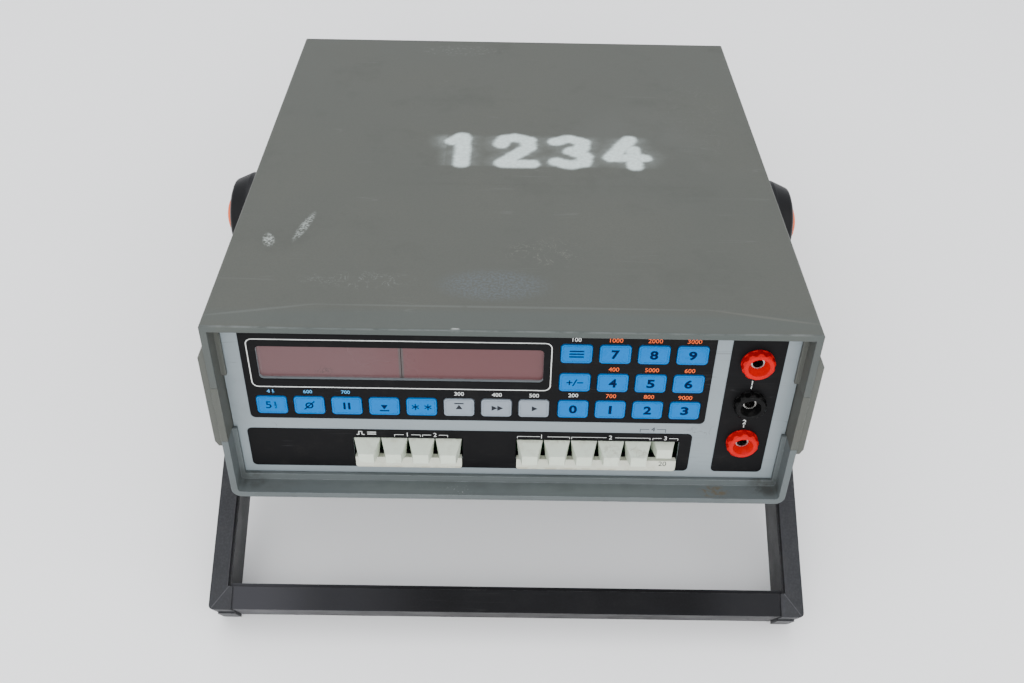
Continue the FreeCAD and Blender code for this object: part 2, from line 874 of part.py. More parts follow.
def display_board():
    """Upright board behind the panel, with the key switches and the connector to the main board."""
    board = box(display_board_left, display_board_right, display_board_front, display_board_back,
                display_board_low, display_board_high)
    half = switch_side / 2
    solids = [board]
    for _, x, z in key_places():
        body = box(x - half, x + half, switch_front() + switch_nib, display_board_front + 0.1, z - half, z + half)
        solids.append(body)
        solids.append(cyl_y(switch_nib_radius, switch_front(), switch_front() + switch_nib + 0.1, x, z))
    connector = display_board_left + connector_inset
    solids.append(box(connector, connector + connector_width, display_board_back - 0.1,
                      display_board_back + connector_deep, board_top, display_board_low + connector_rise))
    for x in (display_board_left + spacer_inset, display_board_right - spacer_inset):
        solids.append(cyl_y(spacer_radius, panel_back, display_board_front + 0.1, x, display_board_high - spacer_inset))
    return fuse_all(solids)


def digit_displays():
    """Six seven-segment digits in a row behind the window."""
    pitch = (window_right - window_left) / digit_count
    middle = (window_low + window_high) / 2
    front = panel_back + filter_sheet + digit_back_gap
    digits = []
    for number in range(digit_count):
        x = window_left + (number + 0.5) * pitch
        digits.append(box(x - digit_width / 2, x + digit_width / 2, front, display_board_front,
                          middle - digit_high / 2, middle + digit_high / 2))
    return Part.makeCompound(digits)


def main_board():
    """Main board with its soldered chips, relays, smoothing capacitors and heat sink."""
    solids = [box(-main_board_half, main_board_half, main_board_front, main_board_back, main_board_low, board_top)]
    low = board_top - solder_sink
    for column in range(chip_columns):
        for row in range(chip_rows):
            x = chip_first_x + chip_pitch_x * column
            y = chip_first_y + chip_pitch_y * row
            solids.append(box(x - chip_half_width, x + chip_half_width, y - chip_half_long, y + chip_half_long,
                              low, board_top + chip_high))
    for row in range(relay_count):
        y = relay_first + relay_pitch * row
        solids.append(box(relay_left, relay_left + relay_width, y, y + relay_deep, low, board_top + relay_high))
    for column in range(capacitor_count):
        x = capacitor_first + capacitor_pitch * column
        solids.append(cyl_z(capacitor_radius, low, board_top + capacitor_high, x, capacitor_y))
    sink_back = sink_front + sink_plate
    solids.append(box(sink_left, sink_right, sink_front, sink_back, low, board_top + sink_high))
    for number in range(fin_count):
        x = fin_first + fin_pitch * number
        solids.append(box(x, x + fin_thick, sink_front + sink_plate / 2, sink_back + fin_deep,
                          low, board_top + sink_high))
    return fuse_all(solids)


def transformer():
    """Laminated core with the winding round its middle limb."""
    core = box(core_left, core_left + core_width, core_front, core_front + core_deep,
               board_top, board_top + core_high)
    winding = box(core_left + winding_inset, core_left + core_width - winding_inset,
                  core_front - winding_out, core_front + core_deep + winding_out,
                  board_top + winding_low, board_top + core_high - winding_low)
    winding = winding.makeFillet(winding_round, edges_along(winding, Vec(0, 0, 1)))
    return fuse_all([core, winding])


# ---------------------------------------------------------------- rear

def rear_face():
    """Outer plane of the rear panel."""
    return case_depth - panel_recess


def rear_panel():
    panel = backwards(panel_outline())
    across = inlet_flange_width / 2 - inlet_body_inset + inlet_clear
    tall = inlet_hole_high / 2 + inlet_wall + inlet_clear
    hole = box(inlet_x - across, inlet_x + across, rear_face() - 5, rear_face() + 5, inlet_z - tall, inlet_z + tall)
    vents = []
    for number in range(vent_count):
        x = vent_first + vent_pitch * number
        vents.append(box(x, x + vent_width, rear_face() - 5, rear_face() + 5, vent_low, vent_high))
    return cut_all(panel, [hole] + vents)


def mains_inlet():
    """Mains inlet and the housing of its rocker switch in one moulding."""
    face = rear_face()
    out = face + inlet_flange
    half_w = inlet_flange_width / 2
    flange = box(inlet_x - half_w, inlet_x + half_w, face, out,
                 inlet_z - inlet_flange_high / 2, inlet_z + inlet_flange_high / 2)
    flange = flange.makeFillet(inlet_round, edges_along(flange, Y_AXIS))
    body_half = inlet_hole_high / 2 + inlet_wall
    body_w = half_w - inlet_body_inset
    body = box(inlet_x - body_w, inlet_x + body_w, face - inlet_deep - inlet_wall, face + 0.1,
               inlet_z - body_half, inlet_z + body_half)
    housing = fuse_all([flange, body])
    socket_centre = inlet_x + socket_offset
    cavity_half = inlet_hole_width / 2 - cavity_side
    cavity = box(socket_centre - cavity_half, socket_centre + cavity_half,
                 face - inlet_deep, out + 1, inlet_z - inlet_hole_high / 2, inlet_z + inlet_hole_high / 2)
    rocker_room = box(rocker_x - rocker_width / 2 - rocker_play, rocker_x + rocker_width / 2 + rocker_play,
                      face - inlet_deep + rocker_floor, out + 1,
                      inlet_z - rocker_high / 2 - rocker_play, inlet_z + rocker_high / 2 + rocker_play)
    pivot_reach = rocker_width / 2 + trunnion_long + trunnion_play
    pivot = cyl_x(trunnion_radius + trunnion_play, rocker_x - pivot_reach, rocker_x + pivot_reach,
                  rocker_pivot_y(), inlet_z)
    housing = cut_all(housing, [cavity, rocker_room, pivot])
    pins = []
    for dx, dz in pin_places:
        x = socket_centre + dx
        z = inlet_z + dz
        pins.append(box(x - pin_thick / 2, x + pin_thick / 2, face - inlet_deep - 1,
                        face - inlet_deep + pin_long, z - pin_width / 2, z + pin_width / 2))
    return fuse_all([housing] + pins)


def rocker_pivot_y():
    return rear_face() + inlet_flange - rocker_axis_deep


def power_rocker():
    """Rocker with a shallow V face on two short trunnions, lying in its off position."""
    y = rocker_pivot_y()
    half = rocker_high / 2 - rocker_end_play
    end = rocker_axis_deep + rocker_skirt
    section = [Vec(0, y - rocker_nose, -rocker_nose_half), Vec(0, y + rocker_skirt, -half), Vec(0, y + end, -half),
               Vec(0, y + end - rocker_vee, 0), Vec(0, y + end, half), Vec(0, y + rocker_skirt, half),
               Vec(0, y - rocker_nose, rocker_nose_half)]
    body = prism(section, Vec(rocker_width, 0, 0))
    body.translate(Vec(rocker_x - rocker_width / 2, 0, inlet_z))
    reach = rocker_width / 2 + trunnion_long
    rocker = fuse_all([body, cyl_x(trunnion_radius, rocker_x - reach, rocker_x + reach, y, inlet_z)])
    rocker.rotate(Vec(0, y, inlet_z), X_AXIS, -rocker_swing / 2)
    return rocker


# ---------------------------------------------------------------- feet and screws

def rubber_feet():
    feet = []
    across = half_width - foot_inset_x
    for sx in (-1, 1):
        for y in (foot_inset_y, case_depth - foot_inset_y):
            feet.append(Part.makeCone(foot_radius, foot_radius - foot_taper, foot_high,
                                      Vec(sx * across, y, 0), Vec(0, 0, -1)))
    return Part.makeCompound(feet)


def case_screws():
    screws = []
    for x, y in post_places():
        head = cyl_z(screw_head_radius, screw_head_high - screw_head_thick, screw_head_high, x, y)
        shank = cyl_z(screw_radius, screw_head_high - 0.1, screw_end, x, y)
        slot = box(x - screw_slot_half, x + screw_slot_half, y - screw_slot_wide / 2, y + screw_slot_wide / 2,
                   0, screw_head_high - screw_head_thick + screw_slot_deep)
        screws.append(head.fuse(shank).cut(slot).removeSplitter())
    return Part.makeCompound([solid for screw in screws for solid in screw.Solids])


# ---------------------------------------------------------------- assembly

def tilt_angle():
    """Tilt of the case when the pads of the handle and the rear feet stand on the bench."""
    lean = math.radians(arm_angle)
    half = arm_width / 2 - bevel_drop
    reach = arm_length + pad_proud
    pad_y = hub_y - reach * math.cos(lean) + half * math.sin(lean)
    pad_z = hub_z - reach * math.sin(lean) - half * math.cos(lean)
    foot_y = case_depth - foot_inset_y + foot_radius - foot_taper
    return math.degrees(math.atan2(-foot_high - pad_z, foot_y - pad_y))


def build_nodes():
    nodes["bottom_cover"] = bottom_cover()
    nodes["top_cover"] = top_cover()
    rail = right_rail()
    nodes["side_rail_right"] = rail
    nodes["side_rail_left"] = mirrored(rail)
    nodes["front_panel"] = front_panel()
    nodes["rear_panel"] = rear_panel()
    nodes["panel_labels"] = panel_labels()
    nodes["display_filters"] = display_filters()
    for name, x, z in key_places():
        nodes[name] = key(x, z)
    for bank, left, count, latched in button_banks():
        for number in range(1, count + 1):
            pushed = button_travel if number == latched else 0.0
            nodes["%s_button_%d" % (bank, number)] = push_button(left + (number - 1) * button_pitch, pushed)
    nodes["button_plates"] = button_plates()
    nodes["switch_banks"] = switch_banks()
    for name, z in terminal_heights.items():
        nodes[name] = terminal(z)
    nodes["terminal_sockets"] = terminal_sockets()
    nodes["terminal_nuts"] = terminal_nuts()
    nodes["display_board"] = display_board()
    nodes["digit_displays"] = digit_displays()
    nodes["main_board"] = main_board()
    nodes["transformer"] = transformer()
    nodes["mains_inlet"] = mains_inlet()
    nodes["power_rocker"] = power_rocker()
    nodes["rubber_feet"] = rubber_feet()
    nodes["case_screws"] = case_screws()
    arm = right_arm()
    nodes["handle_arm_right"] = on_hub(arm)
    nodes["handle_arm_left"] = on_hub(mirrored(arm))
    nodes["handle_bar"] = on_hub(handle_bar())
    cover = right_arm_cover()
    nodes["arm_covers"] = Part.makeCompound([on_hub(cover), on_hub(mirrored(cover))])
    button = right_release_button()
    nodes["release_button_right"] = on_hub(button)
    nodes["release_button_left"] = on_hub(mirrored(button))
    spring = right_release_spring()
    nodes["release_springs"] = Part.makeCompound([on_hub(spring), on_hub(mirrored(spring))])


def set_on_bench():
    """Tip every piece back by the tilt and move the whole so that it stands centred on Z = 0."""
    tilt = tilt_angle()
    for shape in nodes.values():
        shape.rotate(Vec(0, 0, 0), X_AXIS, -tilt)
    boxes = [nodes[name].optimalBoundingBox(False) for name in ("handle_arm_right", "top_cover", "rubber_feet")]
    front = min(b.YMin for b in boxes)
    back = max(b.YMax for b in boxes)
    floor = min(b.ZMin for b in boxes)
    shift = Vec(0, -(front + back) / 2, -floor)
    for shape in nodes.values():
        shape.translate(shift)
    print("tilt %.5f shift_y %.5f shift_z %.5f" % (tilt, shift.y, shift.z))


def export():
    os.makedirs("parts", exist_ok=True)
    for name, shape in nodes.items():
        shape.exportStep("parts/%s.step" % name)
    print("nodes %d" % len(nodes))


build_nodes()
set_on_bench()
export()
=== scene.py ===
import bpy
import json
import math
from mathutils import Euler, Matrix, Vector, noise


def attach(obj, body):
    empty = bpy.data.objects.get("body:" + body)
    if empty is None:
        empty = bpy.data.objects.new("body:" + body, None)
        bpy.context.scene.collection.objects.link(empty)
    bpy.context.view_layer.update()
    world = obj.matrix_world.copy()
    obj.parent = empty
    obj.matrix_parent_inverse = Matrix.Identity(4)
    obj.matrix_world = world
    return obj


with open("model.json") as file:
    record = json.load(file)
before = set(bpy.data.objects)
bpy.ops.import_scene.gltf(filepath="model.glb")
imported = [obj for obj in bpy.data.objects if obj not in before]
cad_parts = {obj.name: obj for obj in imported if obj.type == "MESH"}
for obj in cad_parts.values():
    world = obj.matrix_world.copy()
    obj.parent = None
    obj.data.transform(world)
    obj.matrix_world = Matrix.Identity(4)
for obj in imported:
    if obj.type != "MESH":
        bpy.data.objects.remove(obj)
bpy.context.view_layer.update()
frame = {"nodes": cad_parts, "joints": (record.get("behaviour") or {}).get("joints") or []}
joints = {joint["name"]: joint for joint in frame["joints"]}
nodes = frame["nodes"]

# The meter stands tipped up on its handle. Its case has a frame of its own: X to the right,
# Y to the back, Z up, from the middle of the lower front edge.
intoCase = joints["number_key_0_press"]["axis"]
tilt = math.atan2(-intoCase[2], intoCase[1])
hubInCase = Vector((0, 0.139, 0.045))
millimetre = 0.001
caseMatrix = Matrix.Rotation(-tilt, 4, "X")
caseFoot = Vector(joints["handle_tilt"]["pos_m"]) - caseMatrix.to_3x3() @ hubInCase
caseMatrix.translation = caseFoot
print(f"case tipped up {math.degrees(tilt):.2f} degrees, front edge at {caseFoot[1]:.4f} {caseFoot[2]:.4f}")


# ---- camera, light and floor ----

shot = {
    "place": (-0.0026653, -0.2990820, 0.3190871),  # in the case's frame, like the angles
    "angles": (51.4742, -0.9434, 0.2389),
    "lens": 38.09,
    "sees": (0.01, 30),  # nearest and furthest
}
bpy.ops.object.camera_add()
camera = bpy.context.object
aim = Euler([math.radians(angle) for angle in shot["angles"]])
camera.matrix_world = caseMatrix @ Matrix.LocRotScale(Vector(shot["place"]), aim, None)
camera.data.lens = shot["lens"]
camera.data.clip_start, camera.data.clip_end = shot["sees"]
bpy.context.scene.camera = camera

studio = {
    "sky": (0.93, 0.95, 1.0),
    "skyStrength": 1.0,
    # name, place, aims at, side length, watts
    "lamps": [
        ("lamp_overhead", (-0.25, 0.35, 1.5), (0, 0, 0.05), 1.6, 17),
        ("lamp_front", (0.05, -1.10, 0.62), (0, -0.25, 0.0), 1.3, 15),
        ("lamp_left", (-1.3, -0.7, 1.0), (0, 0, 0.05), 1.2, 6),
        ("lamp_right", (1.3, -0.5, 0.9), (0, 0, 0.05), 1.2, 6),
    ],
    "floorSide": 7.0,
}
sky = bpy.data.worlds.new("pale studio")
sky.use_nodes = True
skyLight = sky.node_tree.nodes["Background"]
skyLight.inputs["Color"].default_value = (*studio["sky"], 1)
skyLight.inputs["Strength"].default_value = studio["skyStrength"]
bpy.context.scene.world = sky
for name, place, target, side, watts in studio["lamps"]:
    bpy.ops.object.light_add(type="AREA", location=place)
    lamp = bpy.context.object
    lamp.name = name
    lamp.data.shape = "SQUARE"
    lamp.data.size = side
    lamp.data.energy = watts
    lamp.rotation_euler = (Vector(target) - Vector(place)).to_track_quat("-Z", "Y").to_euler()
bpy.ops.mesh.primitive_plane_add(size=studio["floorSide"], location=(0, 0, 0))
floor = bpy.context.object
floor.name = "floor"
print("camera, light and floor set")


# ---- shader building blocks ----

def addNode(tree, kind, inputs=None, **settings):
    made = tree.nodes.new("ShaderNode" + kind)
    for name, value in settings.items():
        setattr(made, name, value)
    for name, value in (inputs or {}).items():
        if isinstance(value, bpy.types.NodeSocket):
            tree.links.new(value, made.inputs[name])
        else:
            made.inputs[name].default_value = value
    return made


def calculate(tree, operation, first, second=0.0):
    return addNode(tree, "Math", {0: first, 1: second}, operation=operation).outputs[0]


def multiply(tree, first, second):
    return calculate(tree, "MULTIPLY", first, second)


# Zero below low and one above high, or the other way round when high is the smaller
def stretchBand(tree, value, low, high, bottom=0.0, top=1.0):
    made = addNode(tree, "MapRange", {
        "Value": value, "From Min": low, "From Max": high, "To Min": bottom, "To Max": top,
    })
    made.interpolation_type = "SMOOTHSTEP"
    return made.outputs["Result"]


def mixColours(tree, share, first, second):
    made = tree.nodes.new("ShaderNodeMix")
    made.data_type = "RGBA"
    for slot, value in ((0, share), (6, first), (7, second)):
        if isinstance(value, bpy.types.NodeSocket):
            tree.links.new(value, made.inputs[slot])
        elif slot:
            made.inputs[slot].default_value = (*value, 1)
        else:
            made.inputs[slot].default_value = value
    return made.outputs[2]


# Object coordinates turned into the case's own frame, in millimetres
def caseCoordinates(tree):
    plain = addNode(tree, "TexCoord").outputs["Object"]
    return addNode(tree, "Mapping", {
        "Vector": plain, "Location": caseFoot, "Rotation": (-tilt, 0, 0), "Scale": (millimetre,) * 3,
    }, vector_type="TEXTURE").outputs["Vector"]


# Noise whose blobs are about so many millimetres across
def cloudy(tree, at, size, detail=3.0, rough=0.55, wobble=0.0):
    return addNode(tree, "TexNoise", {
        "Vector": at, "Scale": 1 / size, "Detail": detail, "Roughness": rough, "Distortion": wobble,
    }).outputs["Fac"]


def moved(tree, at, shift=(0, 0, 0), turn=(0, 0, 0), squeeze=(1, 1, 1)):
    return addNode(tree, "Mapping", {
        "Vector": at, "Location": shift, "Rotation": [math.radians(angle) for angle in turn], "Scale": squeeze,
    }).outputs["Vector"]


# Soft round spot: one in the middle, zero past its reach
def softSpot(tree, at, centre, reach, face=0):
    inside = addNode(tree, "Mapping", {
        "Vector": at, "Location": centre, "Rotation": (0, 0, math.radians(-face)), "Scale": reach,
    }, vector_type="TEXTURE").outputs["Vector"]
    away = addNode(tree, "VectorMath", {0: inside}, operation="LENGTH").outputs["Value"]
    return stretchBand(tree, away, 1.0, 0.45)


# Thin lines where a noise crosses its middle value
def contourLines(tree, value, width):
    return stretchBand(tree, calculate(tree, "ABSOLUTE", calculate(tree, "SUBTRACT", value, 0.5)), width, 0.0)


# What a look says unless it names something else. Lengths are millimetres.
plainLook = {
    "patch": 40.0, "speck": 0.9, "speckShare": 0.25, "grain": 0.5, "grainHeight": 0.02, "metal": 0.0, "shine": 0.15,
}
scratchLanes = ((25, 5), (-50, 60), (80, 121))  # heading in degrees, offset of the pattern
scratchDepth = 0.02
paintHeight = 0.01


def drawScratches(tree, at, size, amount):
    scratched = None
    for turn, offset in scratchLanes:
        lane = moved(tree, at, (offset, -offset, offset), (0, turn * 0.3, turn), (0.04, 1.0, 1.0))
        line = contourLines(tree, cloudy(tree, lane, size, 1.0, 0.4, 0.3), 0.006)
        where = stretchBand(tree, cloudy(tree, moved(tree, at, (offset, offset, 0)), 22.0, 2.0), 0.56, 0.68)
        line = multiply(tree, line, where)
        scratched = line if scratched is None else calculate(tree, "MAXIMUM", scratched, line)
    return multiply(tree, scratched, amount)


# Worn edges: where the rounded normal leaves the flat one, broken up by a noise
def wornEdges(tree, at, rounded, amount):
    flat = addNode(tree, "NewGeometry").outputs["Normal"]
    along = addNode(tree, "VectorMath", {0: rounded, 1: flat}, operation="DOT_PRODUCT").outputs["Value"]
    worn = stretchBand(tree, along, 0.995, 0.9)
    chipped = stretchBand(tree, cloudy(tree, at, 6.0, 5.0, 0.7), 0.35, 0.65, 0.15, 1.0)
    return multiply(tree, multiply(tree, worn, chipped), amount)


# One mark on a finish: its place, reach, colour and cover. It is even all over unless cut breaks
# it into grains of a size, or line draws thin wandering lines instead.
def mark(centre, reach, colour, share, size=60.0, **more):
    return dict(more, centre=centre, reach=reach, colour=colour, share=share, size=size)


def coverOfMark(tree, at, spec):
    spot = softSpot(tree, at, spec["centre"], spec["reach"], spec.get("face", 0))
    shift, turn, squeeze = spec.get("shift", (0, 0, 0)), spec.get("turn", 0), spec.get("squeeze", (1, 1, 1))
    turned = moved(tree, at, shift, (0, 0, turn), squeeze)
    grainy = cloudy(tree, turned, spec["size"], 4.0, 0.6, spec.get("wobble", 0.0))
    if "line" in spec:
        grainy = contourLines(tree, grainy, spec["line"])
    else:
        grainy = stretchBand(tree, grainy, *spec.get("cut", (0.0, 0.1)))
    return multiply(tree, multiply(tree, spot, grainy), spec["share"])


# One finish for moulded, painted, printed and metal parts
def makeFinish(name, look, marks=()):
    finish = bpy.data.materials.new(name)
    finish.use_nodes = True
    finish.diffuse_color = (*look["colour"], 1)
    tree = finish.node_tree
    shader = tree.nodes["Principled BSDF"]
    at = caseCoordinates(tree)
    look = {**plainLook, "speckColour": look["shade"], **look}

    patches = cloudy(tree, at, look["patch"], 4.0)
    colour = mixColours(tree, stretchBand(tree, patches, 0.3, 0.7), look["colour"], look["shade"])
    speck = cloudy(tree, moved(tree, at, (31, 7, 3)), look["speck"], 2.0)
    speck = stretchBand(tree, speck, 0.35, 0.75, 0.0, look["speckShare"])
    colour = mixColours(tree, speck, colour, look["speckColour"])
    polish = stretchBand(tree, patches, 0.3, 0.7, *look["polish"])
    height = multiply(tree, cloudy(tree, at, look["grain"], 3.0), look["grainHeight"])

    if "dirt" in look:
        dirtColour, amount, size = look["dirt"]
        dirt = cloudy(tree, moved(tree, at, (-17, 43, 11)), size, 6.0, 0.65)
        dirt = multiply(tree, stretchBand(tree, dirt, 0.5, 0.78), amount)
        colour = mixColours(tree, dirt, colour, dirtColour)
        polish = calculate(tree, "ADD", polish, multiply(tree, dirt, 0.25))
    if "scratches" in look:
        scratchColour, amount, size = look["scratches"]
        scratched = drawScratches(tree, at, size, amount)
        colour = mixColours(tree, scratched, colour, scratchColour)
        height = calculate(tree, "SUBTRACT", height, multiply(tree, scratched, scratchDepth))
    for spec in marks:
        colour = mixColours(tree, coverOfMark(tree, at, spec), colour, spec["colour"])
    rounded = None
    if "rim" in look:
        rimColour, amount, width = look["rim"]
        rounded = addNode(tree, "Bevel", {"Radius": width * millimetre}, samples=4).outputs["Normal"]
        colour = mixColours(tree, wornEdges(tree, at, rounded, amount), colour, rimColour)
    if "sprayed" in look:
        paint = addNode(tree, "Attribute", attribute_name="sprayed").outputs["Fac"]
        mottled = stretchBand(tree, cloudy(tree, at, 1.6, 5.0, 0.75), 0.3, 0.72, 0.72, 1.0)
        colour = mixColours(tree, multiply(tree, paint, mottled), colour, look["sprayed"])
        height = calculate(tree, "ADD", height, multiply(tree, paint, paintHeight))

    bump = addNode(tree, "Bump", {"Height": height, "Distance": millimetre, "Strength": 1.0})
    if rounded is not None:
        tree.links.new(rounded, bump.inputs["Normal"])
    tree.links.new(bump.outputs["Normal"], shader.inputs["Normal"])
    tree.links.new(colour, shader.inputs["Base Color"])
    tree.links.new(polish, shader.inputs["Roughness"])
    shader.inputs["Metallic"].default_value = look["metal"]
    shader.inputs["Specular IOR Level"].default_value = look["shine"]
    return finish


floorFinish = makeFinish("pale backdrop", {
    "colour": (0.97, 0.97, 0.97), "shade": (0.95, 0.95, 0.95), "patch": 260.0, "polish": (0.75, 0.85),
    "speck": 2.2, "speckShare": 0.12, "grain": 1.2, "grainHeight": 0.03, "shine": 0.2,
})
floor.data.materials.append(floorFinish)


# ---- finishes of the case ----

coverLook = {
    "colour": (0.077, 0.081, 0.072), "shade": (0.084, 0.087, 0.077), "patch": 55.0, "polish": (0.50, 0.60),
    "speck": 0.8, "speckShare": 0.35, "speckColour": (0.066, 0.071, 0.063),
    "grain": 0.55, "grainHeight": 0.035,
    "dirt": ((0.063, 0.067, 0.060), 0.35, 30.0),
    "scratches": ((0.16, 0.17, 0.16), 0.16, 7.0),
    "rim": ((0.15, 0.16, 0.155), 0.45, 0.5),
}
# Knocks, paint traces, rubbed places and paler lines along the facet's crease, with painted light: painted shade on
# the front facet, the front lip and the front faces at both sides, which makes the front edge of the roof darker,
# and a painted highlight along the front top edge. In case millimetres
roofMarksAndPaintedLight = [
    mark((-95, 55, 86), (2.8, 6, 9), (0.34, 0.37, 0.35), 0.8, 0.9, cut=(0.42, 0.6), face=-14),
    mark((-82.7, 65, 86), (2.3, 13, 9), (0.30, 0.33, 0.31), 0.75, 0.9, cut=(0.42, 0.6), face=14),
    # painted shade: the sloping front facet of the roof a little darker
    mark((0, 5.5, 86), (170, 8, 9), (0.073, 0.084, 0.08), 0.5),
    mark((0, 13.5, 86), (95, 0.8, 3), (0.12, 0.13, 0.122), 0.4, 5.0, cut=(0.2, 0.45)),
    mark((-91, 9.7, 86), (27, 0.8, 3), (0.12, 0.13, 0.122), 0.4, 5.0, cut=(0.2, 0.45), face=-11.2),
    mark((91, 9.7, 86), (27, 0.8, 3), (0.125, 0.125, 0.11), 0.4, 5.0, cut=(0.2, 0.45), face=11.2),
    mark((-27, 236, 86), (26, 8, 9), (0.18, 0.19, 0.18), 0.3, 2.2, cut=(0.5, 0.66)),
    mark((-7, 27, 86), (25, 12, 9), (0.10, 0.118, 0.136), 0.55, 1.0, cut=(0.4, 0.62)),
    mark((12, 50, 86), (20, 12, 9), (0.22, 0.22, 0.19), 0.4, 9.0, line=0.008, wobble=1.5, shift=(4, 9, 0)),
    mark((-58, 29, 86), (26, 7, 9), (0.24, 0.26, 0.25), 0.4, 7.0, line=0.01, wobble=1.2, shift=(14, 3, 0)),
    mark((84, 165, 86), (20, 60, 9), (0.15, 0.16, 0.15), 0.3, 16.0, line=0.008, wobble=2.5, shift=(70, 3, 0)),
    mark((-20, 0.5, 85.5), (2.2, 1.6, 2), (0.50, 0.53, 0.51), 0.8, 1.6, cut=(0.4, 0.55)),
    # painted shade on the front lip of the roof cover
    mark((0, 0, 84.2), (150, 1.6, 5), (0.06, 0.07, 0.066), 0.95),
    # painted highlight along the roof's front top edge, broken up into chips
    mark((0, 0.3, 85.8), (190, 0.9, 0.9), (0.20, 0.22, 0.215), 0.55, 7.0, cut=(0.3, 0.6)),
    # painted shade on the front faces at both sides of the cover
    mark((-109, 0, 72), (8, 1.6, 24), (0.064, 0.072, 0.069), 0.8),
    mark((109, 0, 72), (8, 1.6, 24), (0.062, 0.07, 0.067), 0.8),
    mark((60, 130, 86), (50, 60, 9), (0.105, 0.11, 0.102), 0.2, 35.0, cut=(0.4, 0.65)),
]
coverFinish = makeFinish("textured cover plastic", coverLook, roofMarksAndPaintedLight)
sprayFinish = makeFinish("sprayed cover plastic", dict(coverLook, sprayed=(0.62, 0.72, 0.70)), roofMarksAndPaintedLight)

bezelFinish = makeFinish("moulded case plastic", dict(
    coverLook, colour=(0.088, 0.101, 0.102), shade=(0.096, 0.111, 0.113), speckColour=(0.086, 0.098, 0.098),
    grain=0.4, grainHeight=0.02, dirt=((0.060, 0.064, 0.060), 0.45, 18.0), rim=((0.20, 0.225, 0.23), 0.6, 0.5),
), [
    # painted light: the floor of the front recess made lighter
    mark((0, 6.5, 2.9), (140, 8, 2), (0.115, 0.132, 0.134), 0.4),
    mark((82, 4, 3), (8, 4, 5), (0.11, 0.085, 0.045), 0.7, 2.2, cut=(0.46, 0.6)),
    # painted shade in the recess's corners by the side walls, broken into grains
    mark((103, 6, 5), (9, 6, 8), (0.03, 0.03, 0.025), 0.6, 5.0, cut=(0.3, 0.56)),
    mark((-103, 6, 5), (9, 6, 8), (0.036, 0.036, 0.032), 0.4, 5.0, cut=(0.32, 0.58)),
    mark((0, 6, 2.6), (130, 5, 1.5), (0.06, 0.066, 0.064), 0.35, 14.0, cut=(0.35, 0.7)),
    mark((-19, 3, 3), (9, 4, 3), (0.25, 0.27, 0.27), 0.6, 0.9, cut=(0.6, 0.68)),
])
railFinish = makeFinish("side rail plastic", dict(
    coverLook, colour=(0.070, 0.074, 0.066), shade=(0.077, 0.080, 0.071), speckColour=(0.062, 0.065, 0.058),
    grain=0.4, grainHeight=0.02, dirt=((0.070, 0.070, 0.056), 0.45, 16.0), rim=((0.18, 0.19, 0.175), 0.6, 0.5),
))
panelFinish = makeFinish("painted panel", {
    "colour": (0.196, 0.230, 0.246), "shade": (0.206, 0.242, 0.256), "patch": 60.0, "polish": (0.36, 0.46),
    "speck": 0.5, "speckShare": 0.2, "grain": 0.3, "grainHeight": 0.004, "shine": 0.3,
    "dirt": ((0.160, 0.180, 0.190), 0.35, 12.0),
    "scratches": ((0.10, 0.11, 0.12), 0.5, 5.0),
    "rim": ((0.30, 0.32, 0.34), 0.5, 0.25),
}, [
    mark((-88, 9, 31.5), (4, 3, 3.5), (0.03, 0.03, 0.035), 0.7, 6.0, line=0.02, squeeze=(1, 1, 0.3)),
    mark((76, 9, 31.0), (10, 3, 4), (0.06, 0.06, 0.065), 0.5, 8.0, line=0.012),
])
filmFinish = makeFinish("printed black film", {
    "colour": (0.0050, 0.0050, 0.0056), "shade": (0.0062, 0.0062, 0.0066), "patch": 25.0, "polish": (0.34, 0.46),
    "speck": 0.7, "speckShare": 0.3, "grain": 0.25, "grainHeight": 0.003, "shine": 0.05,
    "dirt": ((0.012, 0.0115, 0.011), 0.6, 7.0),
    "scratches": ((0.04, 0.04, 0.042), 0.3, 4.0),
}, [
    mark((0, 9, 45), (140, 6, 60), (0.10, 0.10, 0.10), 0.7, 0.9, cut=(0.755, 0.8)),
    mark((90.8, 9, 47), (11, 6, 10), (0.006, 0.006, 0.006), 0.6, 2.6, cut=(0.45, 0.65)),
])
inkFinish = makeFinish("white legend ink", {
    "colour": (0.66, 0.68, 0.66), "shade": (0.58, 0.60, 0.58), "patch": 4.0, "polish": (0.5, 0.6),
    "grain": 0.3, "grainHeight": 0.002, "dirt": ((0.30, 0.29, 0.25), 0.5, 3.0),
})
orangeInk = makeFinish("orange legend ink", {
    "colour": (0.88, 0.130, 0.020), "shade": (0.78, 0.110, 0.020), "patch": 3.0, "polish": (0.5, 0.6),
    "grain": 0.3, "grainHeight": 0.002,
})
blueInk = makeFinish("blue legend ink", {
    "colour": (0.10, 0.42, 0.80), "shade": (0.08, 0.36, 0.70), "patch": 3.0, "polish": (0.5, 0.6),
    "grain": 0.3, "grainHeight": 0.002,
})
navyInk = makeFinish("dark blue key ink", {
    "colour": (0.002, 0.007, 0.032), "shade": (0.003, 0.010, 0.040), "patch": 2.0, "polish": (0.45, 0.55),
    "grain": 0.3, "grainHeight": 0.002, "shine": 0.02,
})
greyInk = makeFinish("dark grey ink", {
    "colour": (0.016, 0.018, 0.022), "shade": (0.022, 0.024, 0.028), "patch": 2.0, "polish": (0.45, 0.55),
    "grain": 0.3, "grainHeight": 0.002, "shine": 0.03,
})
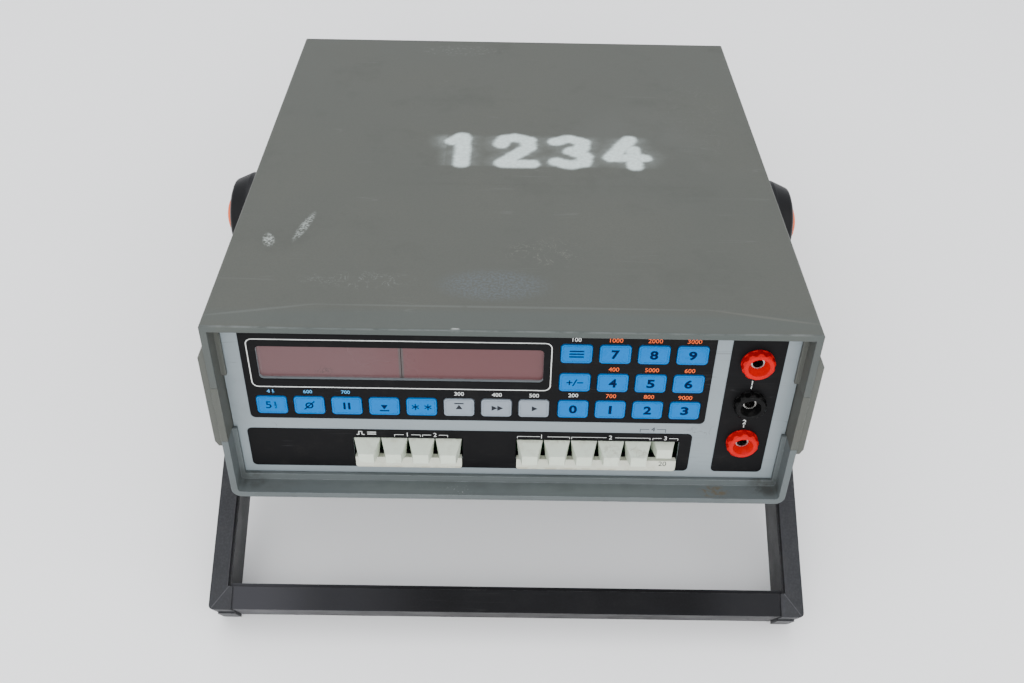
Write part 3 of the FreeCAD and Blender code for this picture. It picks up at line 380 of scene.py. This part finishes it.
windowFinish = makeFinish("dull red window", {
    "colour": (0.090, 0.033, 0.035), "shade": (0.094, 0.037, 0.039), "patch": 70.0, "polish": (0.24, 0.34),
    "speck": 1.2, "speckShare": 0.15, "grain": 9.0, "grainHeight": 0.003, "shine": 0.3,
}, [
    mark((-90, 9, 62), (66, 20, 60), (0.098, 0.055, 0.058), 0.6, 900.0),
    mark((-94, 9, 60), (1.4, 8, 30), (0.16, 0.13, 0.13), 0.3, 2.0, cut=(0.2, 0.5)),
    mark((-50, 9, 54.2), (150, 8, 1.0), (0.16, 0.13, 0.135), 0.4, 3.0, cut=(0.2, 0.5)),
    mark((-40.9, 9, 62), (1.3, 8, 30), (0.055, 0.052, 0.05), 0.8),
    mark((-30, 9, 62), (60, 6, 11), (0.34, 0.33, 0.33), 0.8, 0.55, cut=(0.78, 0.82)),
    mark((-70, 9, 57), (5, 4, 4), (0.045, 0.03, 0.03), 0.8, 3.0, line=0.03, turn=40),
])


# ---- finishes of keys, buttons and terminals ----

keyBlue = makeFinish("blue key film", {
    "colour": (0.000, 0.134, 0.425), "shade": (0.000, 0.143, 0.450), "patch": 9.0, "polish": (0.34, 0.44),
    "speck": 0.6, "speckShare": 0.25, "speckColour": (0.000, 0.122, 0.395), "grain": 0.25, "grainHeight": 0.004,
    "shine": 0.0,
    "dirt": ((0.001, 0.110, 0.345), 0.4, 4.0), "rim": ((0.001, 0.108, 0.33), 0.25, 0.2),
})
keyGrey = makeFinish("pale grey key film", {
    "colour": (0.212, 0.246, 0.282), "shade": (0.222, 0.256, 0.290), "patch": 9.0, "polish": (0.34, 0.44),
    "speck": 0.6, "speckShare": 0.25, "grain": 0.25, "grainHeight": 0.004, "shine": 0.05,
    "dirt": ((0.18, 0.19, 0.20), 0.4, 4.0), "rim": ((0.17, 0.18, 0.19), 0.3, 0.2),
})
ivoryLook = {
    "colour": (0.53, 0.59, 0.49), "shade": (0.57, 0.63, 0.53), "patch": 12.0, "polish": (0.38, 0.50),
    "speck": 0.8, "speckShare": 0.2, "speckColour": (0.50, 0.52, 0.43), "grain": 0.4, "grainHeight": 0.006,
    "shine": 0.25,
    "dirt": ((0.36, 0.35, 0.27), 0.5, 5.0), "rim": ((0.68, 0.69, 0.62), 0.6, 0.3),
    "scratches": ((0.40, 0.40, 0.34), 0.5, 3.0),
}
# Finger marks on the fourth and fifth range buttons, and painted shade, grainy and brownish, where the buttons
# leave the panel and along the lower edge of the plate
ivoryMarksAndPaintedShade = [
    mark((39.7, 5.5, 23), (5, 3.5, 4), (0.26, 0.25, 0.19), 0.45, 2.4, cut=(0.44, 0.62)),
    mark((50.4, 5.5, 23), (5, 3.5, 4), (0.24, 0.24, 0.20), 0.5, 3.0, line=0.05),
    # painted shade where the buttons leave the panel
    mark((0, 9.2, 20), (80, 1.6, 9), (0.22, 0.20, 0.15), 0.5, 1.6, cut=(0.35, 0.7)),
    # painted shade along the lower edge of the plate
    mark((0, 8.3, 9.6), (80, 2.5, 1.2), (0.30, 0.26, 0.17), 0.5, 3.0, cut=(0.4, 0.62)),
]
ivoryFinish = makeFinish("ivory button plastic", ivoryLook, ivoryMarksAndPaintedShade)
plateLook = dict(ivoryLook, colour=(0.52, 0.55, 0.46), shade=(0.57, 0.59, 0.50))
plateFinish = makeFinish("ivory plate", plateLook, ivoryMarksAndPaintedShade)
terminalRed = makeFinish("red terminal plastic", {
    "colour": (0.46, 0.001, 0.003), "shade": (0.50, 0.003, 0.004), "patch": 6.0, "polish": (0.24, 0.36),
    "speck": 0.7, "speckShare": 0.3, "speckColour": (0.40, 0.002, 0.003), "grain": 0.5, "grainHeight": 0.008,
    "shine": 0.07,
    "dirt": ((0.26, 0.004, 0.004), 0.5, 3.0), "rim": ((0.62, 0.02, 0.012), 0.5, 0.35),
})
terminalBlack = makeFinish("black terminal plastic", {
    "colour": (0.0030, 0.0030, 0.0030), "shade": (0.0045, 0.0045, 0.0045), "patch": 4.0, "polish": (0.20, 0.32),
    "speck": 0.7, "speckShare": 0.3, "grain": 0.5, "grainHeight": 0.012, "shine": 0.06,
    "dirt": ((0.018, 0.017, 0.016), 0.6, 2.0), "rim": ((0.03, 0.03, 0.03), 0.6, 0.35),
})
socketMetal = makeFinish("nickelled socket", {
    "colour": (0.42, 0.41, 0.39), "shade": (0.34, 0.33, 0.31), "patch": 3.0, "polish": (0.22, 0.36), "metal": 1.0,
    "grain": 0.3, "grainHeight": 0.004, "dirt": ((0.20, 0.18, 0.15), 0.5, 2.0),
})
nutBrass = makeFinish("brass nut", {
    "colour": (0.60, 0.42, 0.16), "shade": (0.50, 0.34, 0.12), "patch": 3.0, "polish": (0.25, 0.40), "metal": 1.0,
    "grain": 0.3, "grainHeight": 0.004, "dirt": ((0.20, 0.13, 0.06), 0.5, 2.0),
})


# ---- finishes of the handle ----

handleLook = {
    "colour": (0.0185, 0.0190, 0.0210), "shade": (0.0230, 0.0235, 0.0260), "patch": 22.0, "polish": (0.40, 0.52),
    "speck": 0.8, "speckShare": 0.5, "speckColour": (0.036, 0.037, 0.042),
    "grain": 0.5, "grainHeight": 0.022, "shine": 0.16,
    "dirt": ((0.045, 0.045, 0.044), 0.35, 10.0), "scratches": ((0.09, 0.09, 0.09), 0.5, 6.0),
    "rim": ((0.085, 0.085, 0.09), 0.6, 0.45),
}
# painted shade: the sides of the handle's hubs almost black
paintedHubShade = [
    mark((side * 126, 139, 45), (10, 46, 46), (0.004, 0.004, 0.0045), 0.95, 12.0, cut=(0.1,
         0.3)) for side in (-1, 1)
]
handleFinish = makeFinish("charcoal handle plastic", handleLook, paintedHubShade)
armCoverFinish = makeFinish("black cover plastic", dict(
    handleLook, colour=(0.009, 0.009, 0.0095), shade=(0.012, 0.012, 0.0125),
))
# Painted sheen: the enamel is paler towards the ends of the bar, most at the left end: where along it, how far, how
# strongly
barSheenPlaces = ((-112, 90, 0.30), (-128, 58, 0.65), (128, 58, 0.20))
paintedBarSheen = [mark((x, 0, 0), (reach, 900, 900), (0.042, 0.042, 0.047), share, 20.0) for x, reach, share in barSheenPlaces]
barFinish = makeFinish("black bar enamel", dict(
    handleLook, colour=(0.0042, 0.0042, 0.0048), shade=(0.0060, 0.0060, 0.0068), speckColour=(0.008, 0.008, 0.009),
    polish=(0.36, 0.46), grainHeight=0.006, shine=0.07, dirt=((0.012, 0.012, 0.012), 0.35, 10.0),
    scratches=((0.020, 0.020, 0.021), 0.4, 6.0),
), paintedBarSheen)
releaseOrange = makeFinish("orange release plastic", {
    "colour": (0.82, 0.105, 0.000), "shade": (0.74, 0.090, 0.000), "patch": 6.0, "polish": (0.32, 0.44),
    "speck": 0.7, "speckShare": 0.2, "grain": 0.4, "grainHeight": 0.008, "shine": 0.03,
    "dirt": ((0.40, 0.06, 0.01), 0.4, 3.0), "rim": ((0.88, 0.16, 0.01), 0.4, 0.4),
})
creaseFinish = makeFinish("pale handle crease", dict(
    handleLook, colour=(0.075, 0.076, 0.082), shade=(0.050, 0.051, 0.056), patch=2.5,
    speckColour=(0.030, 0.031, 0.034), speckShare=0.7,
))
footRubber = makeFinish("foot rubber", {
    "colour": (0.012, 0.012, 0.012), "shade": (0.018, 0.018, 0.018), "patch": 8.0, "polish": (0.70, 0.85),
    "grain": 0.4, "grainHeight": 0.02, "shine": 0.25, "dirt": ((0.06, 0.058, 0.054), 0.6, 4.0),
})


# ---- finishes of what is behind the panels ----

boardGreen = makeFinish("green board", {
    "colour": (0.012, 0.085, 0.030), "shade": (0.016, 0.105, 0.040), "patch": 14.0, "polish": (0.30, 0.42),
    "speck": 1.6, "speckShare": 0.35, "speckColour": (0.05, 0.12, 0.05), "grain": 0.8, "grainHeight": 0.01,
})
blackPart = makeFinish("black component plastic", {
    "colour": (0.014, 0.014, 0.015), "shade": (0.020, 0.020, 0.021), "patch": 8.0, "polish": (0.42, 0.56),
    "grain": 0.4, "grainHeight": 0.012, "dirt": ((0.04, 0.04, 0.038), 0.4, 6.0),
    "rim": ((0.05, 0.05, 0.05), 0.4, 0.3),
})
inletBlack = makeFinish("black inlet plastic", {
    "colour": (0.012, 0.012, 0.013), "shade": (0.017, 0.017, 0.018), "patch": 9.0, "polish": (0.28, 0.40),
    "shine": 0.5,
    "grain": 0.4, "grainHeight": 0.010, "dirt": ((0.045, 0.043, 0.040), 0.4, 5.0),
    "rim": ((0.06, 0.06, 0.06), 0.5, 0.35),
})
steelLook = {
    "colour": (0.46, 0.46, 0.47), "shade": (0.38, 0.38, 0.38), "patch": 5.0, "polish": (0.26, 0.40), "metal": 1.0,
    "grain": 0.4, "grainHeight": 0.006, "dirt": ((0.20, 0.18, 0.16), 0.5, 3.0),
}
screwSteel = makeFinish("plated screw steel", steelLook)
springSteel = makeFinish("spring steel", dict(steelLook, colour=(0.34, 0.34, 0.36)))
coreSteel = makeFinish("transformer steel", dict(steelLook, colour=(0.20, 0.21, 0.22), polish=(0.45, 0.60)))

nodeFinishes = {
    "top_cover": coverFinish, "bottom_cover": bezelFinish, "side_rail_left": railFinish,
    "side_rail_right": railFinish,
    "front_panel": panelFinish, "rear_panel": panelFinish, "panel_labels": filmFinish,
    "display_filters": windowFinish,
    "button_plates": plateFinish, "switch_banks": blackPart, "current_terminal": terminalRed,
    "common_terminal": terminalBlack, "voltage_terminal": terminalRed, "terminal_sockets": socketMetal,
    "terminal_nuts": nutBrass, "display_board": boardGreen, "digit_displays": blackPart, "main_board": boardGreen,
    "transformer": coreSteel, "mains_inlet": inletBlack, "power_rocker": inletBlack, "rubber_feet": footRubber,
    "case_screws": screwSteel, "handle_arm_left": handleFinish, "handle_arm_right": handleFinish,
    "handle_bar": barFinish, "arm_covers": armCoverFinish, "release_button_left": releaseOrange,
    "release_button_right": releaseOrange, "release_springs": springSteel,
}
greyKeys = ("function_key_6", "function_key_7", "function_key_8")
for name, piece in nodes.items():
    if name in nodeFinishes:
        chosen = nodeFinishes[name]
    elif "button" in name:
        chosen = ivoryFinish
    else:
        chosen = keyGrey if name in greyKeys else keyBlue
    for slot in piece.material_slots:
        slot.material = chosen
print("finishes assigned to", len(nodes), "nodes")


# ---- modelling helpers ----

def clearSelection():
    if bpy.context.object and bpy.context.object.mode != "OBJECT":
        bpy.ops.object.mode_set(mode="OBJECT")
    bpy.ops.object.select_all(action="DESELECT")


def inMetres(*values):
    return [value * millimetre for value in values]


# The drawings below are in case millimetres
inkThick = 0.03
# How far behind the case's front edge each printed face lies
faces = {"film": 9.05, "key": 8.7, "panel": 9.3, "plate": 8.25}


# Upright on the front of the case: the flat shape's own Z looks out to the front
def standUp(x, y, z):
    return Matrix.Translation(inMetres(x, y, z)) @ Matrix.Rotation(math.radians(90), 4, "X")


# Puts a drawn piece into the row frame, with its place in its mesh
def settle(piece, name, finish, body, where=None):
    clearSelection()
    piece.select_set(True)
    bpy.context.view_layer.objects.active = piece
    piece.matrix_world = caseMatrix @ (where or Matrix.Identity(4)) @ piece.matrix_world
    bpy.ops.object.transform_apply(location=True, rotation=True, scale=True)
    piece.name = name
    piece.data.name = name
    piece.data.materials.clear()
    piece.data.materials.append(finish)
    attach(piece, body)
    return piece


def joinPieces(parts):
    clearSelection()
    for part in parts:
        part.select_set(True)
    bpy.context.view_layer.objects.active = parts[0]
    bpy.ops.object.join()
    return bpy.context.object


# A plane of a size, left open in edit mode with all of it selected
def openPlane(width, height):
    clearSelection()
    bpy.ops.mesh.primitive_plane_add(size=1, location=(0, 0, 0))
    plane = bpy.context.object
    plane.scale = (*inMetres(width, height), 1)
    bpy.ops.object.transform_apply(location=False, rotation=False, scale=True)
    bpy.ops.object.mode_set(mode="EDIT")
    bpy.ops.mesh.select_all(action="SELECT")
    return plane


# Gives the open flat shape its thickness and leaves edit mode
def thicken(thick):
    bpy.ops.mesh.select_all(action="SELECT")
    bpy.ops.mesh.extrude_region_move(TRANSFORM_OT_translate={"value": (0, 0, thick * millimetre)})
    bpy.ops.mesh.select_all(action="SELECT")
    bpy.ops.mesh.normals_make_consistent(inside=False)
    bpy.ops.object.mode_set(mode="OBJECT")


# A flat ring with rounded corners, drawn in its own XY plane
def roundedRing(width, height, corner, line, thick=inkThick):
    ring = openPlane(width, height)
    bpy.ops.mesh.bevel(offset=corner * millimetre, segments=8, affect="VERTICES", clamp_overlap=False)
    bpy.ops.mesh.select_all(action="SELECT")
    bpy.ops.mesh.inset(thickness=line * millimetre, depth=0)
    bpy.ops.mesh.delete(type="FACE")
    thicken(thick)
    return ring


# A thin printed bar from one point to another, both in the plane of the panel
def printedBar(first, second, line, thick=inkThick):
    run = Vector(second) - Vector(first)
    middle = (Vector(first) + Vector(second)) / 2
    bar = openPlane(run.length + line, line)
    bpy.ops.mesh.bevel(offset=line * 0.2 * millimetre, segments=2, affect="VERTICES")
    thicken(thick)
    place = Matrix.Translation((*inMetres(*middle), 0))
    bar.matrix_world = place @ Matrix.Rotation(math.atan2(run[1], run[0]), 4, "Z")
    bpy.ops.object.transform_apply(location=True, rotation=True, scale=True)
    return bar


# A printed number of a given height, centred on its place. No width keeps the figures' own shape.
def printedNumber(words, x, z, height, width=0, weight=0.0):
    clearSelection()
    bpy.ops.object.text_add(location=(0, 0, 0))
    text = bpy.context.object
    text.data.body = words
    text.data.size = 1
    text.data.offset = weight
    text.data.resolution_u = 4
    text.data.extrude = 0.5
    bpy.ops.object.convert(target="MESH")
    text = bpy.context.object
    corners = [Vector(corner) for corner in text.bound_box]
    low = [min(corner[i] for corner in corners) for i in range(3)]
    high = [max(corner[i] for corner in corners) for i in range(3)]
    middle = [(low[i] + high[i]) / 2 for i in range(3)]
    upright = height / (high[1] - low[1])
    sizes = inMetres(width / (high[0] - low[0]) if width else upright, upright, inkThick)
    place = Matrix.Translation(inMetres(x, z, inkThick / 2))
    text.matrix_world = place @ Matrix.Diagonal((*sizes, 1)) @ Matrix.Translation([-m for m in middle])
    bpy.ops.object.transform_apply(location=True, rotation=True, scale=True)
    return text


# ---- keys: raised border and printed signs ----

keyDrawing = {
    "rowFirst": -90.9, "rowPitch": 14.26, "rowHeight": 41.4, "rowCount": 8,
    "padFirst": 23.9, "padPitch": 14.22, "padHeights": [68.6, 54.8, 41.4],
    "padNames": [
        ["reading_key", "number_key_7", "number_key_8", "number_key_9"],
        ["sign_key", "number_key_4", "number_key_5", "number_key_6"],
        ["number_key_0", "number_key_1", "number_key_2", "number_key_3"],
    ],
    "border": (10.3, 7.3), "borderCorner": 1.0, "borderLine": 0.24, "borderProud": 0.04, "borderEdge": 0.03,
    "figureHeight": 4.1, "figureWidth": 3.0, "oneWidth": 1.1, "figureWeight": 0.035,
}
keyPlaces = {}
for count in range(keyDrawing["rowCount"]):
    x = keyDrawing["rowFirst"] + keyDrawing["rowPitch"] * count
    keyPlaces[f"function_key_{count + 1}"] = (x, keyDrawing["rowHeight"])
for height, row in zip(keyDrawing["padHeights"], keyDrawing["padNames"]):
    for count, name in enumerate(row):
        keyPlaces[name] = (keyDrawing["padFirst"] + keyDrawing["padPitch"] * count, height)

border = roundedRing(
    *keyDrawing["border"], keyDrawing["borderCorner"], keyDrawing["borderLine"], keyDrawing["borderProud"],
)
bpy.ops.object.modifier_add(type="BEVEL")
border.modifiers["Bevel"].width = keyDrawing["borderEdge"] * millimetre
border.modifiers["Bevel"].segments = 2
bpy.ops.object.modifier_apply(modifier="Bevel")
borderMesh = border.data.copy()
bpy.data.objects.remove(border)
for name, (x, z) in keyPlaces.items():
    copy = bpy.data.objects.new(name + "_border", borderMesh.copy())
    bpy.context.collection.objects.link(copy)
    finish, slot = (keyGrey, "key_grey") if name in greyKeys else (keyBlue, "key_blue")
    settle(copy, name + "_border", finish, name, standUp(x, faces["key"], z))

# Plain signs for the keys that don't carry a number
signLine = 0.55
# strokes: how thick against the line, then the ends of each
signStrokes = {
    "sign": (0.8, [
        ((-2.9, 0), (-1.1, 0)), ((-2.0, -0.9), (-2.0, 0.9)), ((-0.6, -1.4), (0.6, 1.4)), ((1.1, 0), (2.9, 0)),
    ]),
    "list": (1.0, [((-2.4, z), (2.4, z)) for z in (-1.3, 0, 1.3)]),
    "pause": (1.5, [((x, -1.3), (x, 1.3)) for x in (-0.9, 0.9)]),
    "zero": (0.8, [((-1.9, -1.9), (1.9, 1.9))]),
}
zeroRing = (3.0, 3.0, 1.45)
stars = {"places": (-2.4, 2.4), "headings": (30, 90, 150), "reach": 1.3, "thick": 0.7}
# arrows: heading in degrees, places of the heads, level of the stop bar
arrows = {"down": (-90, (0,), -2.1), "up": (90, (0,), 2.1), "next": (0, (-1.1, 1.1), None), "run": (0, (0,), None)}
arrowHead = {"radius": 1.5, "corner": 0.12, "stopHalf": 1.5}


def drawArrowHead(shift, heading):
    clearSelection()
    bpy.ops.mesh.primitive_circle_add(vertices=3, radius=arrowHead["radius"] * millimetre, fill_type="NGON")
    head = bpy.context.object
    bpy.ops.object.mode_set(mode="EDIT")
    bpy.ops.mesh.select_all(action="SELECT")
    bpy.ops.mesh.bevel(offset=arrowHead["corner"] * millimetre, segments=2, affect="VERTICES")
    thicken(inkThick)
    place = Matrix.Translation(inMetres(shift, 0, 0))
    head.matrix_world = place @ Matrix.Rotation(math.radians(heading - 90), 4, "Z")
    bpy.ops.object.transform_apply(location=True, rotation=True, scale=True)
    return head


def drawKeySign(kind):
    bars = []
    if kind == "stars":
        for place in stars["places"]:
            for heading in stars["headings"]:
                reachX = math.cos(math.radians(heading)) * stars["reach"]
                reachZ = math.sin(math.radians(heading)) * stars["reach"]
                first, second = (place - reachX, -reachZ), (place + reachX, reachZ)
                bars.append(printedBar(first, second, signLine * stars["thick"]))
    elif kind in arrows:
        heading, places, stop = arrows[kind]
        bars = [drawArrowHead(place, heading) for place in places]
        if stop is not None:
            bars.append(printedBar((-arrowHead["stopHalf"], stop), (arrowHead["stopHalf"], stop), signLine))
    else:
        if kind == "zero":
            bars.append(roundedRing(*zeroRing, signLine))
        thick, strokes = signStrokes[kind]
        bars += [printedBar(first, second, signLine * thick) for first, second in strokes]
    return joinPieces(bars)


# A five beside a small one over two
def drawHalfSign():
    return joinPieces([
        printedNumber("5", -1.3, 0, 3.4, 2.1), printedNumber("1", 1.3, 0.9, 1.4, 0.45),
        printedBar((0.8, 0), (1.9, 0), 0.18), printedNumber("2", 1.35, -0.9, 1.4, 0.9),
    ])


keySigns = {
    "function_key_2": "zero", "function_key_3": "pause", "function_key_4": "down", "function_key_5": "stars",
    "function_key_6": "up", "function_key_7": "next", "function_key_8": "run", "reading_key": "list",
    "sign_key": "sign",
}
for name, (x, z) in keyPlaces.items():
    if name in keySigns:
        figure = drawKeySign(keySigns[name])
    elif name == "function_key_1":
        figure = drawHalfSign()
    else:
        width = keyDrawing["oneWidth" if name[-1] == "1" else "figureWidth"]
        figure = printedNumber(name[-1], 0, 0, keyDrawing["figureHeight"], width, keyDrawing["figureWeight"])
    ink = greyInk if name in greyKeys else navyInk
    settle(figure, name + "_figure", ink, name, standUp(x, faces["key"], z))
print("key borders and signs made")


# ---- printed lines and numbers on the films ----

def printSheet(name, drawing, finish, face="film"):
    settle(joinPieces(drawing), name, finish, "case", standUp(0, faces[face], 0))


display = {"left": -97.3, "right": 15.0, "low": 50.2, "high": 73.3, "corner": 2.6, "line": 0.38}
outline = roundedRing(
    display["right"] - display["left"], display["high"] - display["low"], display["corner"], display["line"],
)
outline.location = (*inMetres((display["left"] + display["right"]) / 2, (display["low"] + display["high"]) / 2), 0)
bpy.ops.object.transform_apply(location=True, rotation=False, scale=False)
printSheet("display_outline", [outline], inkFinish)

# Each sheet: its ink, numbers as words, x, z, height and perhaps width, then lines as ends and thickness
legends = {
    "orange_legends": (orangeInk, [
        ("1000", 38.1, 75.0, 1.9), ("2000", 52.3, 75.0, 1.9), ("3000", 66.6, 75.0, 1.9),
        ("400", 38.1, 61.3, 1.9), ("5000", 52.3, 61.2, 1.9), ("600", 66.4, 61.1, 1.9),
        ("700", 38.0, 48.1, 1.9), ("800", 52.4, 48.0, 1.9), ("9000", 66.2, 47.8, 1.9),
    ], []),
    "white_legends": (inkFinish, [
        ("100", 23.7, 75.1, 1.8), ("200", 23.7, 48.2, 1.8),
        ("300", -19.5, 48.1, 1.8), ("400", -5.2, 47.9, 1.8), ("500", 8.9, 47.8, 1.8),
        ("1", 90.4, 55.7, 2.2), ("2", 90.4, 35.9, 2.2),
        ("1", 12.4, 26.6, 2.0), ("2", 39.4, 26.6, 2.0), ("3", 60.9, 26.6, 2.0),
        ("1", -40.0, 26.6, 2.0), ("2", -29.2, 26.6, 2.0),
    ], [
        # square pulse over the first function button, ticks over the two lower terminals, double bar
        ((-59.6, 26.3), (-58.9, 26.3), 0.35), ((-58.9, 26.3), (-58.9, 27.9), 0.35),
        ((-58.9, 27.9), (-57.7, 27.9), 0.35), ((-57.7, 27.9), (-57.7, 26.3), 0.35),
        ((-57.7, 26.3), (-56.9, 26.3), 0.35),
        ((90.4, 53.0), (90.4, 53.9), 0.35), ((90.4, 33.2), (90.4, 34.1), 0.35),
        ((-55.4, 26.6), (-52.4, 26.6), 0.4), ((-55.4, 27.6), (-52.4, 27.6), 0.4),
    ]),
    # the small one over two beside the four is part of these
    "blue_legends": (blueInk, [
        ("4", -91.6, 48.1, 1.6, 1.2), ("600", -76.7, 48.1, 1.6), ("700", -62.4, 48.1, 1.6),
        ("1", -89.9, 48.5, 0.9, 0.4), ("2", -89.85, 47.6, 0.8, 0.6),
    ], [((-90.2, 48.0), (-89.4, 48.0), 0.12)]),
}
for name, (ink, numbers, lines) in legends.items():
    drawing = [printedNumber(*number) for number in numbers]
    drawing += [printedBar(*line) for line in lines]
    printSheet(name, drawing, ink)

# Brackets that gather the push-buttons: left, right, half width of the gap left for the number
brackets = [(3.0, 23.4, 1.6), (24.2, 54.9, 1.8), (56.0, 65.8, 1.6), (-45.0, -34.9, 1.6), (-34.1, -24.3, 1.6)]
bracketDrawing = {"level": 26.5, "foot": 25.6, "line": 0.2}
# The larger bracket on the panel itself, with its number
panelBracket = {"ends": (50.7, 60.6, 1.6), "level": 31.0, "foot": 29.5, "line": 0.22}
panelNumber = ("4", 55.65, 31.0, 2.1, 1.5)


def drawBracket(left, right, gap, level, foot, line):
    middle = (left + right) / 2
    runs = [
        ((left, foot), (left, level)), ((left, level), (middle - gap, level)),
        ((middle + gap, level), (right, level)), ((right, level), (right, foot)),
    ]
    return [printedBar(first, second, line) for first, second in runs]


drawing = []
for bracket in brackets:
    drawing += drawBracket(*bracket, **bracketDrawing)
printSheet("button_brackets", drawing, inkFinish)
drawing = drawBracket(*panelBracket["ends"], panelBracket["level"], panelBracket["foot"], panelBracket["line"])
drawing.append(printedNumber(*panelNumber))
printSheet("panel_bracket", drawing, greyInk, "panel")

# Plain range numbers on the plate under the range buttons: words and place
plateNumbers = [("2", 8.1), ("20", 18.2), ("200", 29.0), ("2", 39.6), ("20", 50.2), ("20", 60.9)]
plateDrawing = {"level": 13.4, "height": 2.45, "figureWidth": 1.55}
drawing = [
    printedNumber(words, x, plateDrawing["level"], plateDrawing["height"], plateDrawing["figureWidth"] * len(words))
    for words, x in plateNumbers
]
printSheet("plate_numbers", drawing, greyInk, "plate")
print("films printed")


# ---- pale lines along the mitre creases on the corners of the handle ----

handleDrawing = {
    "lean": 31.56, "length": 183.7, "half": 11.0, "barFace": 9.35,
    "innerSide": 113.7, "outerSide": 120.3, "roundedOff": 0.8, "drop": 0.9,
    "line": 0.35, "thick": 0.05, "sunk": 0.02,
}
creaseStart = (handleDrawing["innerSide"], handleDrawing["barFace"] - handleDrawing["length"])
creaseEnd = (handleDrawing["outerSide"], handleDrawing["roundedOff"] - handleDrawing["length"])
creaseAcross, creaseAlong = creaseEnd[0] - creaseStart[0], creaseEnd[1] - creaseStart[1]
creaseRun = math.hypot(creaseAcross, creaseAlong)
creaseSink = Matrix.Rotation(math.atan2(handleDrawing["drop"], creaseRun), 4, "Y")
handlePlace = Matrix.Translation(hubInCase) @ Matrix.Rotation(math.radians(handleDrawing["lean"]), 4, "X")
for side, name in ((-1, "handle_crease_left"), (1, "handle_crease_right")):
    crease = printedBar((0, 0), (creaseRun, 0), handleDrawing["line"], handleDrawing["thick"])
    heading = Matrix.Rotation(math.atan2(creaseAlong, side * creaseAcross), 4, "Z")
    level = handleDrawing["half"] - handleDrawing["sunk"]
    corner = Matrix.Translation(inMetres(side * creaseStart[0], creaseStart[1], level))
    where = handlePlace @ corner @ heading @ creaseSink
    settle(crease, name, creaseFinish, "handle", where)
print("creases of the handle made")


# ---- sprayed number on the roof ----

# Strokes of the stencil figures in a box one wide and one high, as chains of points
stencilChains = {
    "1": [[(0.30, 0.80), (0.52, 0.97)], [(0.55, 0.92), (0.55, 0.05)]],
    "2": [
        [(0.16, 0.72), (0.24, 0.90), (0.50, 0.96), (0.80, 0.86), (0.80, 0.62), (0.20, 0.10)],
        [(0.20, 0.07), (0.86, 0.07)],
    ],
    "3": [[
        (0.16, 0.84), (0.48, 0.95), (0.80, 0.82), (0.74, 0.58), (0.50, 0.52), (0.82, 0.36), (0.76, 0.13),
        (0.46, 0.05), (0.15, 0.16),
    ]],
    "4": [[(0.62, 0.94), (0.16, 0.36)], [(0.14, 0.32), (0.88, 0.32)], [(0.66, 0.60), (0.66, 0.04)]],
}
spray = {
    "figures": "1234", "left": -33.0, "low": 116.0, "width": 19.0, "pitch": 24.5, "height": 27.0,
    "stroke": 3.4, "soft": 1.2, "cover": 0.96, "cell": 0.75,
    "box": (-52.0, 100.0, 84.0, 158.0), "level": 86.03,
    # overspray: a thin mist round the figures that the stencil card's edges cut off
    "mistReach": 9.0, "mist": 0.20, "cardBelow": 1.0, "cardAbove": 1.5, "mostPaint": 0.97,
}


def distanceToStroke(point, first, second):
    first, second = Vector(first), Vector(second)
    run = second - first
    share = max(0.0, min(1.0, (point - first).dot(run) / run.length_squared))
    return (point - first - run * share).length


# Noise over the roof, with waves of about so many to the millimetre
def waver(point, scale, layer):
    return noise.noise(Vector((point[0] * scale, point[1] * scale, layer)))


def paintAt(point):
    near = min(distanceToStroke(point, *ends) for ends in strokes)
    ragged = waver(point, 0.35, 1.7) * 0.5 + waver(point, 1.1, 5.2) * 0.3
    solid = (spray["stroke"] + ragged * 0.8 + spray["soft"] - near) / (2 * spray["soft"])
    solid = max(0.0, min(1.0, solid))
    mist = max(0.0, 1 - max(0.0, near - spray["stroke"]) / spray["mistReach"]) ** 2 * spray["mist"]
    low, high = spray["low"] - spray["cardBelow"], spray["low"] + spray["height"] + spray["cardAbove"]
    inBand = max(0.0, min(1.0, (point[1] - low) / 1.2, (high - point[1]) / 3.0))
    side = 1.6 if point[0] < spray["left"] + 3 else 0.7  # more to the left of the first figure
    mist *= inBand * side * (0.75 + ragged)
    return max(0.0, min(spray["mostPaint"], solid * solid * (3 - 2 * solid) * spray["cover"] + mist))


strokes = []
for count, figure in enumerate(spray["figures"]):
    for chain in stencilChains[figure]:
        left = spray["left"] + spray["pitch"] * count
        points = [(left + spray["width"] * x, spray["low"] + spray["height"] * y) for x, y in chain]
        strokes += zip(points, points[1:])

boxLeft, boxLow, boxRight, boxHigh = spray["box"]
cellsX, cellsY = round((boxRight - boxLeft) / spray["cell"]), round((boxHigh - boxLow) / spray["cell"])
clearSelection()
bpy.ops.mesh.primitive_grid_add(x_subdivisions=cellsX, y_subdivisions=cellsY, size=1, location=(0, 0, 0))
sheet = bpy.context.object
sheet.scale = (*inMetres(boxRight - boxLeft, boxHigh - boxLow), 1)
sheet.location = inMetres((boxLeft + boxRight) / 2, (boxLow + boxHigh) / 2, spray["level"])
bpy.ops.object.transform_apply(location=True, rotation=False, scale=True)
paint = sheet.data.attributes.new("sprayed", "FLOAT", "POINT")
for vertex, value in zip(sheet.data.vertices, paint.data):
    value.value = paintAt(Vector(vertex.co[:2]) / millimetre)
settle(sheet, "sprayed_number", sprayFinish, "case")
print("roof number sprayed")
